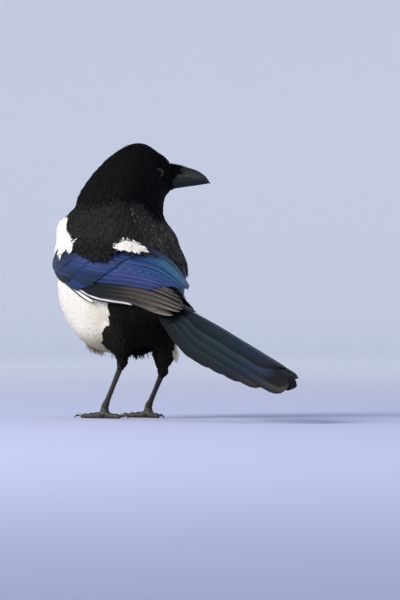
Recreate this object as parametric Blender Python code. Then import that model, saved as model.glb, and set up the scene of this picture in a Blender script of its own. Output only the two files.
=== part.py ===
"""Eurasian magpie, life size, standing and looking back over its right shoulder.

The bird faces -Y, its left side is +X and the floor is Z = 0.
Lengths in the tables are millimetres and are scaled by MM when a shape is made.
"""

import math

import bmesh
import bpy
from mathutils import Matrix, Vector

MM = 0.001
GAP = 0.3
UP = Vector((0, 0, 1))

# The plumage of the body, neck and nape, from the belly up, as level ovals:
# height, middle to the left, middle to the rear, half width, half depth.
BODY_OVALS = (
    (56, 0, 6, 14, 13),
    (60, 0, 5, 26.5, 22),
    (66, 0, 4, 33.5, 31),
    (74, 0, 1.5, 39, 38.5),
    (88, 0, -3.5, 42.5, 49),
    (100, 0, -6, 44, 54),
    (110, 0, -7, 45, 57),
    (128, 0, -8.5, 46, 58),
    (140, 0, -11, 45.5, 56.5),
    (150, 0, -12, 44.5, 53),
    (160, 0, -11.5, 41, 46),
    (171, 0, -9.5, 37, 37.5),
    (180, 0, -6, 35, 35),
    (191, -1.5, -2.5, 34, 35),
    (204, -3.5, 0.5, 29.5, 33.5),
    (212, -4, 1, 25, 30),
    (220, -5, 3, 19, 23.5),
    (226, -6, 4, 12.5, 15.5),
    (229, -6, 5, 5, 6),
)
OVAL_POWER = 2.3

# The head turns about the neck towards the right side of the bird and to the rear.
HEAD_CENTRE = Vector((-17.2, 6.3, 211))
HEAD_TURN = math.radians(109)
FORWARD = Vector((-math.sin(HEAD_TURN), -math.cos(HEAD_TURN), 0))
LEFT = UP.cross(FORWARD)

# Along the bill's direction: distance, top, bottom, half width.
HEAD_OVALS = (
    (-27, 12, -4, 4),
    (-24, 17, -9, 10),
    (-17, 20.3, -16, 15.5),
    (-8, 22.3, -20, 18.3),
    (1, 22.6, -21.5, 18.8),
    (9, 19.6, -21.5, 17.8),
    (17, 13.2, -20, 14.3),
    (22, 9.2, -17.3, 11.3),
    (26, 6.9, -14.3, 8.8),
    (29, 5.8, -12.2, 6.8),
)
UPPER_BILL = (
    (27.5, 5.2, -4.7, 5.6),
    (34, 4.5, -4.9, 5.0),
    (40, 3.0, -5.1, 4.2),
    (46, 0.7, -5.6, 3.3),
    (51, -2.1, -6.4, 2.4),
    (55, -5.2, -7.6, 1.5),
    (57.9, -8.7, -9.6, 0.5),
)
LOWER_BILL = (
    (27.5, -5.0, -12.2, 5.0),
    (34, -5.2, -11.8, 4.4),
    (40, -5.4, -11.2, 3.7),
    (46, -5.9, -10.5, 2.8),
    (51, -6.7, -9.9, 1.9),
    (55.2, -8.0, -9.2, 0.7),
)
BRISTLES_LEFT = (-4, -2, 0, 2, 4)
NOSTRIL = (35, 4.8, 0.4)
NOSTRIL_RADIUS = 0.9
EYE_RADIUS = 4.3
EYE_CENTRE = (7.0, 14.6, 0.2)
EYE_LID_RADIUS = 4.1
EYE_LID_THICK = 0.9

# The rump, from inside the body out to the root of the tail.
RUMP_OVALS = (
    (10, 104, 33, 31),
    (30, 102, 32, 29),
    (46, 99, 27, 24),
    (59, 95.5, 19.5, 16),
    (70, 91, 13, 9),
)

# Each leg: its ankle's place to the rear, and its heel inwards, rearwards and above the floor.
# Then the feathered thigh as round sections: to the rear of the ankle, height, radius.
FOOT_X = 22
FOOT_Y = {"left": 1.4, "right": 4.2}
HEEL = {"left": (0, 26.5, 48.5), "right": (8, 33, 40.5)}
ANKLE_Z = 9.5
THIGH_OVALS = (
    (10.6, 84, 17),
    (18.6, 74, 15.5),
    (25.1, 64, 12),
    (26.6, 56, 8.8),
    (25.4, 50.5, 4.6),
)
# The shank from heel to ankle: place, radius.
SHANK_OVALS = (
    (-0.02, 3.6), (0.06, 3.7), (0.14, 2.7), (0.5, 2.2), (0.84, 2.5), (0.95, 3.4), (1.03, 3.3), (1.08, 2.2),
)
SOLE_SUNK = 0.35
# Each toe, the middle one first: number, degrees turned outwards from straight ahead,
# length to its claw, length of its claw.
TOES = ((3, -3, 27, 9), (2, -33, 19, 8.5), (4, 24, 21, 8.5), (1, 188, 17, 11.5))

# The folded tail: its root, its length, its slope and how it arches across.
TAIL_ROOT = Vector((0, 62, 101.5))
TAIL_SLOPE = math.radians(19.6)
TAIL_ROLL = math.radians(10)
TAIL_ARCH = {"left": 0.8, "right": 0.5}
TAIL_TIER = 0.9
TAIL_DEPTH = -1.6

# Each folded wing lies between a lower edge and an upper edge, front to tip.
LEFT_LOWER = (
    (39, -50, 127), (47, -15, 115), (43.5, 16, 104), (30, 50, 101), (21, 73, 96.5), (10, 98, 90),
)
LEFT_UPPER = (
    (37, -35, 158), (38, 0, 156), (30, 27, 153), (14, 44, 147), (-6, 58, 134), (-20, 71, 109),
)
RIGHT_LOWER = (
    (-39, -50, 126), (-46, -15, 113), (-42, 16, 100), (-32, 44, 91), (-27, 68, 80), (-25, 90, 70),
)
RIGHT_UPPER = (
    (-37, -35, 156), (-38, 0, 152), (-30, 22, 147), (-19, 35, 136), (-13, 45, 120), (-17, 61, 103),
)
WING_BULGE = {"left": (5, 9, 11, 11, 9, 4), "right": (5, 7, 5, 2, 1, 1)}
# How thick the wing's arm is from its wrist to where it ends.
WING_CORE = ((1.0,), (4.6,), (5.0,), (3.6,), (2.2,), (1.2,))
CORE_LENGTH = 0.5
VANE_THICK = 0.55

# A vane's outline: place from root to tip, share of its full width.
VANE_OUTLINE = ((0, 0.16), (0.1, 0.3), (0.36, 1), (0.74, 1), (0.94, 0.66), (1, 0.14))
ROOT_LIFT = 0.4
RISEN_AT = 0.1

# Groups of wing feathers, lowest tier first. Each row has the number of vanes, then for
# the first and the last of them: root along, root across, tip along, tip across, and
# then the width to the outer and the inner side in mm, the tier's height and its tilt.
WING_GROUPS = {
    "primaries": (5, (0.08, 0.10, 0.78, -0.04), (0.16, 0.36, 0.84, 0.25), 3.5, 5, 0.2, 2.2),
    "secondaries": (6, (0.14, 0.34, 0.82, 0.34), (0.36, 0.86, 1.0, 0.92), 5, 6.5, 1.6, 1.8),
    "greater_coverts": (6, (0.03, 0.14, 0.36, 0.12), (0.26, 0.84, 0.66, 0.84), 5.5, 6.5, 3.5, 1.7),
    "scapulars": (4, (0.02, 0.62, 0.30, 0.62), (0.2, 0.86, 0.58, 0.96), 6.5, 7, 5.2, 1.8),
}
# How far the primaries' tips stand behind the line between the first and the last.
PRIMARY_TIPS = (0.0, 0.12, 0.19, 0.14, 0.0)

# The tail's feathers, the middle pair first: length, outer edge and inner edge from the
# middle line, and height of the tier.
TAIL_FEATHERS = (
    (197, 14.5, -3.5, 0.0),
    (187, 19.5, 1.5, -0.9),
    (166, 23, 4, -1.8),
    (145, 24.5, 6, -2.7),
    (124, 25, 8, -3.6),
    (104, 25.5, 10, -4.5),
)


def clear_scene():
    for item in list(bpy.data.objects):
        bpy.data.objects.remove(item, do_unlink=True)


def finish(colour, roughness, metallic=0.0):
    """A plain finish from a colour as red, green and blue."""
    material = bpy.data.materials.new("finish")
    material.use_nodes = True
    shader = material.node_tree.nodes["Principled BSDF"]
    shader.inputs["Base Color"].default_value = (*colour, 1)
    shader.inputs["Roughness"].default_value = roughness
    shader.inputs["Metallic"].default_value = metallic
    material.diffuse_color = (*colour, 1)
    return material


def smooth_step(table, place):
    """Read a table of rows at a place from 0 to 1, on a smooth curve through them."""
    at = max(0.0, min(1.0, place)) * (len(table) - 1)
    low = min(int(at), len(table) - 2)
    part = at - low
    rows = [table[max(0, min(len(table) - 1, low + step))] for step in (-1, 0, 1, 2)]
    out = []
    for before, here, there, after in zip(*rows):
        slope_here = (there - before) / 2
        slope_there = (after - here) / 2
        out.append(
            here * (2 * part ** 3 - 3 * part ** 2 + 1)
            + slope_here * (part ** 3 - 2 * part ** 2 + part)
            + there * (3 * part ** 2 - 2 * part ** 3)
            + slope_there * (part ** 3 - part ** 2)
        )
    return out


def oval(centre, side, rise, half_side, half_rise, power=2.0, count=24):
    """A closed ring about a centre; a power above 2 makes it squarer."""
    points = []
    for step in range(count):
        turn = 2 * math.pi * step / count
        across = math.copysign(abs(math.cos(turn)) ** (2 / power), math.cos(turn))
        along = math.copysign(abs(math.sin(turn)) ** (2 / power), math.sin(turn))
        points.append(centre + side * (half_side * across) + rise * (half_rise * along))
    return points


def mesh_object(name, bm, material):
    bmesh.ops.recalc_face_normals(bm, faces=bm.faces)
    mesh = bpy.data.meshes.new(name)
    bm.to_mesh(mesh)
    bm.free()
    item = bpy.data.objects.new(name, mesh)
    bpy.context.scene.collection.objects.link(item)
    mesh.materials.append(material)
    return item


def loft(name, rings, material):
    """Skin rings of equal count, closed at both ends; rings are in millimetres."""
    bm = bmesh.new()
    loops = [[bm.verts.new(point * MM) for point in ring] for ring in rings]
    count = len(loops[0])
    for low, high in zip(loops, loops[1:]):
        for step in range(count):
            after = (step + 1) % count
            bm.faces.new((low[step], low[after], high[after], high[step]))
    bm.faces.new(loops[0])
    bm.faces.new(loops[-1])
    return mesh_object(name, bm, material)


def ball(name, centre, radius, fineness, material):
    bm = bmesh.new()
    bmesh.ops.create_icosphere(bm, subdivisions=fineness, radius=radius * MM)
    bmesh.ops.translate(bm, verts=bm.verts, vec=centre * MM)
    return mesh_object(name, bm, material)


def settle(item):
    """Keep the object's evaluated mesh and drop its modifiers."""
    graph = bpy.context.evaluated_depsgraph_get()
    mesh = bpy.data.meshes.new_from_object(item.evaluated_get(graph))
    item.modifiers.clear()
    item.data = mesh
    return item


def boolean(item, others, operation, solver="EXACT"):
    """Join or cut with a collection of closed objects, which are then removed."""
    group = bpy.data.collections.new("tools")
    bpy.context.scene.collection.children.link(group)
    for other in others:
        group.objects.link(other)
    change = item.modifiers.new("change", "BOOLEAN")
    change.operation = operation
    change.operand_type = "COLLECTION"
    change.collection = group
    change.solver = solver
    settle(item)
    for other in others:
        bpy.data.objects.remove(other, do_unlink=True)
    bpy.data.collections.remove(group)
    return item


def keep_largest(item):
    """Leave only the largest closed surface of a mesh."""
    bm = bmesh.new()
    bm.from_mesh(item.data)
    bm.verts.ensure_lookup_table()
    unseen = set(bm.verts)
    shells = []
    while unseen:
        front = [unseen.pop()]
        shell = set(front)
        while front:
            for edge in front.pop().link_edges:
                for vertex in edge.verts:
                    if vertex in unseen:
                        unseen.discard(vertex)
                        shell.add(vertex)
                        front.append(vertex)
        shells.append(shell)
    shells.sort(key=len)
    for shell in shells[:-1]:
        bmesh.ops.delete(bm, geom=list(shell), context="VERTS")
    bm.to_mesh(item.data)
    bm.free()
    return item


def copy_of(item, name):
    twin = item.copy()
    twin.data = item.data.copy()
    twin.name = name
    bpy.context.scene.collection.objects.link(twin)
    return twin


def swollen(item, amount):
    """A copy whose surface stands out by an amount in millimetres."""
    twin = copy_of(item, "swollen")
    bm = bmesh.new()
    bm.from_mesh(twin.data)
    bm.normal_update()
    moved = [(vertex, vertex.co + vertex.normal * amount * MM) for vertex in bm.verts]
    for vertex, place in moved:
        vertex.co = place
    bm.to_mesh(twin.data)
    bm.free()
    return twin


def cut_flat(item, point, normal):
    """Remove all that lies on the normal's side of a plane and close the cut."""
    bm = bmesh.new()
    bm.from_mesh(item.data)
    cut = bmesh.ops.bisect_plane(
        bm, geom=bm.verts[:] + bm.edges[:] + bm.faces[:], dist=1e-7,
        plane_co=point * MM, plane_no=normal, clear_outer=True,
    )
    rim = [part for part in cut["geom_cut"] if isinstance(part, bmesh.types.BMEdge)]
    bmesh.ops.triangle_fill(bm, edges=rim, use_beauty=True)
    bmesh.ops.recalc_face_normals(bm, faces=bm.faces)
    bm.to_mesh(item.data)
    bm.free()
    return item


def head_point(ahead, left, rise):
    return HEAD_CENTRE + FORWARD * ahead + LEFT * left + UP * rise


def body_oval(height, swell=0.0):
    """The level oval of the body at a height, on smooth curves through the table."""
    rows = BODY_OVALS
    index = 0
    while index < len(rows) - 2 and rows[index + 1][0] < height:
        index += 1
    part = (height - rows[index][0]) / (rows[index + 1][0] - rows[index][0])
    row = smooth_step(rows, (index + part) / (len(rows) - 1))
    return row[1], row[2], row[3] + swell, row[4] + swell


def body_rings():
    rings = []
    steps = 40
    for step in range(steps + 1):
        height, left, back, half_wide, half_deep = smooth_step(BODY_OVALS, step / steps)
        centre = Vector((left, back, height))
        rings.append(oval(centre, Vector((1, 0, 0)), Vector((0, 1, 0)), half_wide, half_deep, OVAL_POWER, 32))
    return rings


def head_rings(table, count=28, steps=24, power=2.1):
    rings = []
    for step in range(steps + 1):
        ahead, top, bottom, half = smooth_step(table, step / steps)
        centre = head_point(ahead, 0, (top + bottom) / 2)
        rings.append(oval(centre, LEFT, UP, half, (top - bottom) / 2, power, count))
    return rings


def rump_rings():
    slope = Vector((0, math.cos(TAIL_SLOPE), -math.sin(TAIL_SLOPE)))
    rise = Vector((1, 0, 0)).cross(slope)
    rings = []
    for back, height, half_wide, half_high in RUMP_OVALS:
        rings.append(oval(Vector((0, back, height)), Vector((1, 0, 0)), rise, half_wide, half_high))
    return rings


def make_flesh(dark, white):
    """Body, neck and head as one smooth form, then parted by thin flat cuts."""
    core = loft("core", body_rings(), dark)
    parts = [loft("head_form", head_rings(HEAD_OVALS), dark), loft("rump_form", rump_rings(), dark)]
    boolean(core, parts, "UNION")
    remesh = core.modifiers.new("remesh", "REMESH")
    remesh.mode = "VOXEL"
    remesh.voxel_size = 2.5 * MM
    even = core.modifiers.new("even", "SMOOTH")
    even.factor = 0.5
    even.iterations = 6
    fewer = core.modifiers.new("fewer", "DECIMATE")
    fewer.ratio = 0.125
    settle(core)
    keep_largest(core)
    head_plane = (head_point(-5, 0, -16), (FORWARD * -0.42 - UP * 0.9).normalized())
    neck_plane = (Vector((0, -6, 177)), Vector((0, -0.1, 1)).normalized())
    head = copy_of(core, "head")
    cut_flat(head, head_plane[0], head_plane[1])
    neck = copy_of(core, "neck")
    cut_flat(neck, head_plane[0] + head_plane[1] * GAP, -head_plane[1])
    cut_flat(neck, neck_plane[0], -neck_plane[1])
    torso = copy_of(core, "torso")
    cut_flat(torso, neck_plane[0] - neck_plane[1] * GAP, neck_plane[1])
    torso.data.materials.clear()
    torso.data.materials.append(white)
    bpy.data.objects.remove(core, do_unlink=True)
    return head, neck, torso


def make_bill(horn):
    upper = loft("bill_upper", head_rings(UPPER_BILL, 14, 9, 2.0), horn)
    lower = loft("bill_lower", head_rings(LOWER_BILL, 14, 8, 2.0), horn)
    ahead, left, rise = NOSTRIL
    pits = [ball("pit", head_point(ahead, left * sign, rise), NOSTRIL_RADIUS, 1, horn) for sign in (1, -1)]
    boolean(upper, pits, "DIFFERENCE")
    return upper, lower


def make_face(head, upper, lower, eye_black):
    """Set lids and eyes in the head and sink the bill into it."""
    for side, sign in (("left", 1), ("right", -1)):
        ahead, left, rise = EYE_CENTRE
        centre = head_point(ahead, left * sign, rise)
        look = (LEFT * sign + FORWARD * 0.22).normalized()
        turn = look.to_track_quat("Z", "Y")
        eye = ball("eye_" + side, centre, EYE_RADIUS, 2, eye_black)
        rings = []
        for step in range(18):
            angle = 2 * math.pi * step / 18
            outward = turn @ Vector((math.cos(angle), 0.88 * math.sin(angle), 0))
            middle = centre + outward * EYE_LID_RADIUS + look * 2.3
            rings.append(oval(middle, outward, look, EYE_LID_THICK, EYE_LID_THICK, 2.0, 6))
        lids = ring_solid("lids", rings, head.data.materials[0])
        boolean(head, [lids], "UNION")
        boolean(head, [swollen(eye, GAP)], "DIFFERENCE")
    bristles = [bristle_vane(left, head.data.materials[0]) for left in BRISTLES_LEFT]
    boolean(head, bristles, "UNION")
    boolean(head, [swollen(upper, GAP), swollen(lower, GAP)], "DIFFERENCE")
    keep_largest(head)


def bristle_vane(left, material):
    """A flat tapered tuft of nasal bristles that lies forwards over the base of the bill."""
    stations = []
    for ahead, rise, half in ((20, 5.2, 1.4), (27, 5.6, 1.6), (34, 5.6, 1.3), (40 - abs(left) * 0.6, 4.9, 0.3)):
        level = rise - 0.09 * left ** 2
        spots = ((half, level), (half, level + 0.6), (-half, level + 0.6), (-half, level))
        stations.append([head_point(ahead, left + side, up) for side, up in spots])
    return vane(stations, material)


def ring_solid(name, rings, material):
    """Skin rings of equal count round a closed circle, such as an eyelid."""
    bm = bmesh.new()
    loops = [[bm.verts.new(point * MM) for point in ring] for ring in rings]
    count = len(loops[0])
    for index, low in enumerate(loops):
        high = loops[(index + 1) % len(loops)]
        for step in range(count):
            after = (step + 1) % count
            bm.faces.new((low[step], low[after], high[after], high[step]))
    return mesh_object(name, bm, material)


def tail_point(side, along, lift=0.0):
    """A point of the tail: mm to the left of its middle, mm from its root, mm above it."""
    droop = TAIL_ARCH["left" if side > 0 else "right"] * (math.hypot(side, 6) - 6)
    across = Vector((math.cos(TAIL_ROLL), 0, -math.sin(TAIL_ROLL)))
    down = Vector((0, math.cos(TAIL_SLOPE), -math.sin(TAIL_SLOPE)))
    rise = across.cross(down)
    return TAIL_ROOT + across * side + down * along + rise * (lift - droop)


def vane(stations, material):
    """A thin closed vane through stations of outer and inner edge, under and over."""
    bm = bmesh.new()
    rows = [[bm.verts.new(point * MM) for point in station] for station in stations]
    for near, far in zip(rows, rows[1:]):
        outer_under, outer_over, inner_over, inner_under = range(4)
        for one, two in ((outer_over, inner_over), (outer_under, inner_under)):
            bm.faces.new((near[one], near[two], far[two]))
            bm.faces.new((near[one], far[two], far[one]))
        for one, two in ((outer_under, outer_over), (inner_under, inner_over)):
            bm.faces.new((near[one], near[two], far[two], far[one]))
    bm.faces.new(rows[0])
    bm.faces.new(rows[-1])
    return mesh_object("vane", bm, material)


def make_tail(dark, torso):
    """Six pairs of overlapping tail feathers, fused at their root, with coverts above."""
    rings = []
    for along, half_wide, half_high in ((-14, 7, 3), (-4, 10, 4.2), (8, 11, 4), (18, 10, 2.6)):
        rings.append([
            tail_point(half_wide * math.cos(turn), along, half_high * math.sin(turn) + TAIL_DEPTH)
            for turn in (2 * math.pi * step / 16 for step in range(16))
        ])
    tail = loft("tail", rings, dark)
    vanes = []
    for number, (length, outer, inner, tier) in enumerate(TAIL_FEATHERS):
        for sign in (1, -1):
            lift = tier + (TAIL_TIER if number == 0 and sign == 1 else 0)
            vanes.append(tail_vane(2, length, outer, inner, lift, sign, dark))
    for number in range(5):
        middle = (number - 2) * 4.5
        lift = 1.9 + TAIL_TIER * (2 - abs(number - 2))
        length = 52 - 7 * abs(number - 2)
        vanes.append(tail_vane(-8, length, middle + 6, middle - 6, lift, 1, dark))
    boolean(tail, vanes, "UNION", "MANIFOLD")
    boolean(tail, [swollen(torso, GAP)], "DIFFERENCE", "MANIFOLD")
    return keep_largest(tail)


def tail_vane(start, length, outer, inner, tier, sign, material):
    """One tail feather from its outer and inner edges, narrow where it leaves the root."""
    stations = []
    for part, wide in VANE_OUTLINE:
        along = start + (length - start) * part
        spread = wide * min(1, 0.42 + 0.58 * max(0, along) / 70)
        middle = (outer + inner) / 2 * min(1, 0.3 + 0.7 * max(0, along) / 90)
        half = (outer - inner) / 2 * spread
        root = TAIL_DEPTH + 0.3 * tier + 0.12 * sign
        lift = root + (tier - root) * min(1, part / RISEN_AT)
        edges = (sign * (middle + half), sign * (middle - half))
        stations.append((
            tail_point(edges[0], along, lift),
            tail_point(edges[0], along, lift + VANE_THICK),
            tail_point(edges[1], along, lift + VANE_THICK),
            tail_point(edges[1], along, lift),
        ))
    return vane(stations, material)


def clear_of_body(point, margin):
    """Move a point out level until it stands clear of the body's oval."""
    left, back, half_wide, half_deep = body_oval(point.z, margin)
    reach = ((abs(point.x - left) / half_wide) ** OVAL_POWER + (abs(point.y - back) / half_deep) ** OVAL_POWER)
    reach = reach ** (1 / OVAL_POWER)
    if reach >= 1:
        return point
    return Vector((left + (point.x - left) / reach, back + (point.y - back) / reach, point.z))


def wing_point(side, along, across, lift=0.0):
    """A point of a folded wing: 0 to 1 from wrist to tip, 0 to 1 from lower to upper edge."""
    lower, upper = (LEFT_LOWER, LEFT_UPPER) if side == "left" else (RIGHT_LOWER, RIGHT_UPPER)
    low = Vector(smooth_step(lower, along))
    high = Vector(smooth_step(upper, along))
    bulge = smooth_step([(value,) for value in WING_BULGE[side]], along)[0]
    run = Vector(smooth_step(lower, along + 0.05)) - Vector(smooth_step(lower, along - 0.05))
    outward = run.cross(high - low).normalized()
    if side == "right":
        outward = -outward
    point = low.lerp(high, across) + outward * (4 * across * (1 - across) * bulge)
    point = clear_of_body(point, 1.4)
    return point + outward * lift


def wing_width(side, along):
    """The distance in mm between the wing's lower and upper edges."""
    lower, upper = (LEFT_LOWER, LEFT_UPPER) if side == "left" else (RIGHT_LOWER, RIGHT_UPPER)
    return (Vector(smooth_step(upper, along)) - Vector(smooth_step(lower, along))).length


def wing_vane(side, root, tip, outer, inner, tier, tilt, material):
    """One wing feather: its outer edge stands higher, over the inner side of the next."""
    stations = []
    for part, wide in VANE_OUTLINE:
        along = root[0] + (tip[0] - root[0]) * part
        across = root[1] + (tip[1] - root[1]) * part
        scale = wide / wing_width(side, along)
        risen = min(1, part / RISEN_AT)
        low = ROOT_LIFT + (tier - ROOT_LIFT) * risen
        high = ROOT_LIFT + (tier + tilt - ROOT_LIFT) * risen
        out_at, in_at = across - outer * scale, across + inner * scale
        stations.append((
            wing_point(side, along, out_at, high),
            wing_point(side, along, out_at, high + VANE_THICK),
            wing_point(side, along, in_at, low + VANE_THICK),
            wing_point(side, along, in_at, low),
        ))
    return vane(stations, material)


def make_wing(side, blue, torso):
    """A folded wing: a thin arm with the tiers of flight feathers and coverts on it."""
    rings = []
    steps = 8
    for step in range(steps + 1):
        along = CORE_LENGTH * step / steps
        edge = math.sin(math.pi * (step + 0.9) / (steps + 1.8)) ** 0.5
        thick = smooth_step(WING_CORE, step / steps)[0]
        ring = []
        for index in range(9):
            place = index / 4 - 1
            lift = thick * (1 - place ** 4)
            ring.append(wing_point(side, along, 0.5 + 0.42 * edge * place, lift))
        for index in range(7):
            place = 0.75 - index / 4
            ring.append(wing_point(side, along, 0.5 + 0.42 * edge * place, -0.9))
        rings.append(ring)
    wing = loft("wing_" + side, rings, blue)
    vanes = []
    for name, (count, first, last, outer, inner, tier, tilt) in WING_GROUPS.items():
        for number in range(count):
            part = number / (count - 1)
            row = [low + (high - low) * part for low, high in zip(first, last)]
            if name == "primaries":
                row[2] += PRIMARY_TIPS[number]
            vanes.append(wing_vane(side, row[:2], row[2:], outer, inner, tier, tilt, blue))
    boolean(wing, vanes, "UNION", "MANIFOLD")
    boolean(wing, [swollen(torso, GAP)], "DIFFERENCE", "MANIFOLD")
    return keep_largest(wing)


def make_leg(side, sign, dark, scaly, horn, torso):
    """Feathered thigh, scaly shank, four toes and their claws."""
    sideways = Vector((1, 0, 0))
    inward, back, height = HEEL[side]
    ankle = Vector((FOOT_X * sign, FOOT_Y[side], ANKLE_Z))
    heel = Vector(((FOOT_X - inward) * sign, FOOT_Y[side] + back, height))
    usual = Vector((FOOT_X * sign, FOOT_Y[side] + HEEL["left"][1], HEEL["left"][2]))
    rings = []
    for index, (rear, level, radius) in enumerate(THIGH_OVALS):
        middle = Vector((FOOT_X * sign, FOOT_Y[side] + rear, level))
        middle += (heel - usual) * (index / (len(THIGH_OVALS) - 1))
        rings.append(oval(middle, sideways, Vector((0, 1, 0)), radius, radius, 2.0, 14))
    thigh = loft("thigh_" + side, rings, dark)
    run = (ankle - heel).normalized()
    rise = sideways.cross(run).normalized()
    rings = [
        oval(heel.lerp(ankle, place), run.cross(rise), rise, radius * 0.86, radius, 2.0, 12)
        for place, radius in SHANK_OVALS
    ]
    tarsus = loft("tarsus_" + side, rings, scaly)
    boolean(thigh, [swollen(torso, GAP)], "DIFFERENCE")
    keep_largest(thigh)
    boolean(thigh, [swollen(tarsus, GAP)], "DIFFERENCE")
    keep_largest(thigh)
    foot = [tarsus]
    for number, angle, length, claw in TOES:
        toe = make_toe(side, sign, number, math.radians(angle), length, claw, ankle, foot, scaly, horn)
        foot.append(toe)


def make_toe(side, sign, number, angle, length, claw, ankle, foot, scaly, horn):
    """A toe that lies on the floor with its joints' pads, and a curved claw at its end."""
    course = Vector((math.sin(angle) * sign, -math.cos(angle), 0))
    across = UP.cross(course)
    start = Vector((ankle.x, ankle.y, 0)) + course * 1.5
    rings = []
    for part, wide, high in ((0, 1.9, 5.4), (0.12, 2.2, 5.2), (0.3, 1.8, 4.2), (0.45, 2.1, 4.5),
                             (0.62, 1.6, 3.6), (0.8, 1.8, 3.9), (0.94, 1.5, 3.3), (1.0, 1.0, 2.4)):
        middle = start + course * (length * part) + UP * (high / 2 - SOLE_SUNK)
        rings.append(oval(middle, across, UP, wide, high / 2, 2.4, 12))
    toe = loft(f"toe_{side}_{number}", rings, scaly)
    cut_flat(toe, Vector((0, 0, 0)), -UP)
    for other in foot:
        boolean(toe, [swollen(other, GAP)], "DIFFERENCE")
        keep_largest(toe)
    rings = []
    for step in range(6):
        part = step / 5
        middle = start + course * (length + 0.35 + claw * math.sin(1.25 * part) / 1.0)
        middle += UP * (1.9 + 1.1 * math.sin(math.pi * min(1, part * 1.15)) - 1.6 * part ** 2)
        radius = 1.25 * (1 - part) ** 0.7 + 0.18
        rings.append(oval(middle, across, UP, radius * 0.7, radius, 2.0, 8))
    loft(f"claw_{side}_{number}", rings, horn)
    return toe


def stand_over_origin():
    """Move the bird level so that the middle of its box stands over the origin."""
    items = list(bpy.context.scene.objects)
    corners = [vertex.co for item in items for vertex in item.data.vertices]
    middle_x = (min(point.x for point in corners) + max(point.x for point in corners)) / 2
    middle_y = (min(point.y for point in corners) + max(point.y for point in corners)) / 2
    for item in items:
        item.data.transform(Matrix.Translation((-middle_x, -middle_y, 0)))


def main():
    clear_scene()
    black = finish((0.012, 0.012, 0.014), 0.6)
    white = finish((0.82, 0.8, 0.76), 0.7)
    blue = finish((0.02, 0.05, 0.22), 0.4)
    slate = finish((0.02, 0.035, 0.05), 0.35)
    horn = finish((0.03, 0.035, 0.04), 0.35)
    scaly = finish((0.045, 0.045, 0.035), 0.55)
    eye_black = finish((0.01, 0.008, 0.006), 0.1)
    head, neck, torso = make_flesh(black, white)
    upper, lower = make_bill(horn)
    make_face(head, upper, lower, eye_black)
    make_tail(slate, torso)
    for side, sign in (("left", 1), ("right", -1)):
        make_wing(side, blue, torso)
        make_leg(side, sign, black, scaly, horn, torso)
    stand_over_origin()


main()
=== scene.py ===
"""Looks of a life-size Eurasian magpie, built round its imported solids.

Shapes are worked out in millimetres in the bird's own layout: it faces -Y, its left is +X,
and the floor is Z = 0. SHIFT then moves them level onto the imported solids.
"""

import itertools
import math
import random

import bmesh
import bpy
from mathutils import Matrix, Vector, noise
from mathutils.bvhtree import BVHTree
from mathutils.kdtree import KDTree


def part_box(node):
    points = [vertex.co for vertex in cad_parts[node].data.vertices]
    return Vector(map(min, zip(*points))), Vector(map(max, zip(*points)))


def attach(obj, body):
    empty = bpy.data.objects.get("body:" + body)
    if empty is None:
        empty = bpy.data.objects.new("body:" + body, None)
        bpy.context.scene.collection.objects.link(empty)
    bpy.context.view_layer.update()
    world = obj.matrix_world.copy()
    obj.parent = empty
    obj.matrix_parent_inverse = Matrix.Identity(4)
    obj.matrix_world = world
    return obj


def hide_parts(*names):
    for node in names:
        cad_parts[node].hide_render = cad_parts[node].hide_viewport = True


MM = 0.001
UP = Vector((0, 0, 1))
CHANCE = random.Random(11)

HEAD_CENTRE = Vector((-17.2, 6.3, 211))
HEAD_TURN = math.radians(109)
FORWARD = Vector((-math.sin(HEAD_TURN), -math.cos(HEAD_TURN), 0))
LEFT = UP.cross(FORWARD)
EYE_CENTRE = (7.0, 14.6, 0.2)
EYE_RADIUS = 4.3
# No feather starts nearer to the middle of an eye than this.
BARE_ROUND_EYE = 4.5

# The camera's angle, and the bird's point that stands in the middle of the picture.
CAMERA_TURN = math.radians(144)
CAMERA_FAR = 4.0
PICTURE_HIGH = 0.5085
FILM_HIGH = 36
ACROSS_AT = 64.8
HEIGHT_AT = 101.7

# Level ovals of the plumage: height, middle to the left, to the rear, half width, half depth.
BODY_OVALS = (
    (56, 0, 6, 14, 13), (60, 0, 5, 26.5, 22), (66, 0, 4, 33.5, 31), (74, 0, 1.5, 39, 38.5),
    (88, 0, -3.5, 42.5, 49), (100, 0, -6, 44, 54), (110, 0, -7, 45, 57), (128, 0, -8.5, 46, 58),
    (140, 0, -11, 45.5, 56.5), (150, 0, -12, 44.5, 53), (160, 0, -11.5, 41, 46),
    (171, 0, -9.5, 37, 37.5), (180, 0, -6, 35, 35), (191, -1.5, -2.5, 34, 35),
    (204, -3.5, 0.5, 29.5, 33.5), (212, -4, 1, 25, 30), (220, -5, 3, 19, 23.5),
    (226, -6, 4, 12.5, 15.5), (229, -6, 5, 5, 6),
)
OVAL_POWER = 2.3

# Closed bill: mm ahead of the head's middle, culmen, mouth line, keel and half width.
BILL = (
    (15, 8.2, -5.4, -15.0, 6.6), (21, 8.2, -5.4, -14.2, 6.4), (27.5, 7.3, -5.2, -12.9, 5.8),
    (34, 6.3, -5.0, -11.9, 5.0), (40, 5.0, -4.9, -11.0, 4.2), (46, 3.1, -5.2, -10.2, 3.3),
    (51, 0.4, -5.8, -9.4, 2.4), (55, -2.9, -6.8, -8.7, 1.4), (58.5, -7.9, -8.4, -8.7, 0.35),
)
# A shallow nostril on each side: mm ahead, to the side and up.
NOSTRIL = (33, 5.0, 0.6)

# Ankles and heels, and each toe's number, degrees outwards, and length.
FOOT_X = 22
FOOT_Y = {"left": 1.4, "right": 4.2}
ANKLE_Z = 9.5
HEEL = {"left": (22, 27.9, 48.5), "right": (-14, 37.2, 40.5)}
TOES = ((-3, 27), (-33, 19), (24, 21), (188, 17))
# No point of a sole lies lower than this.
FLOOR_GAP = 0.05

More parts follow.
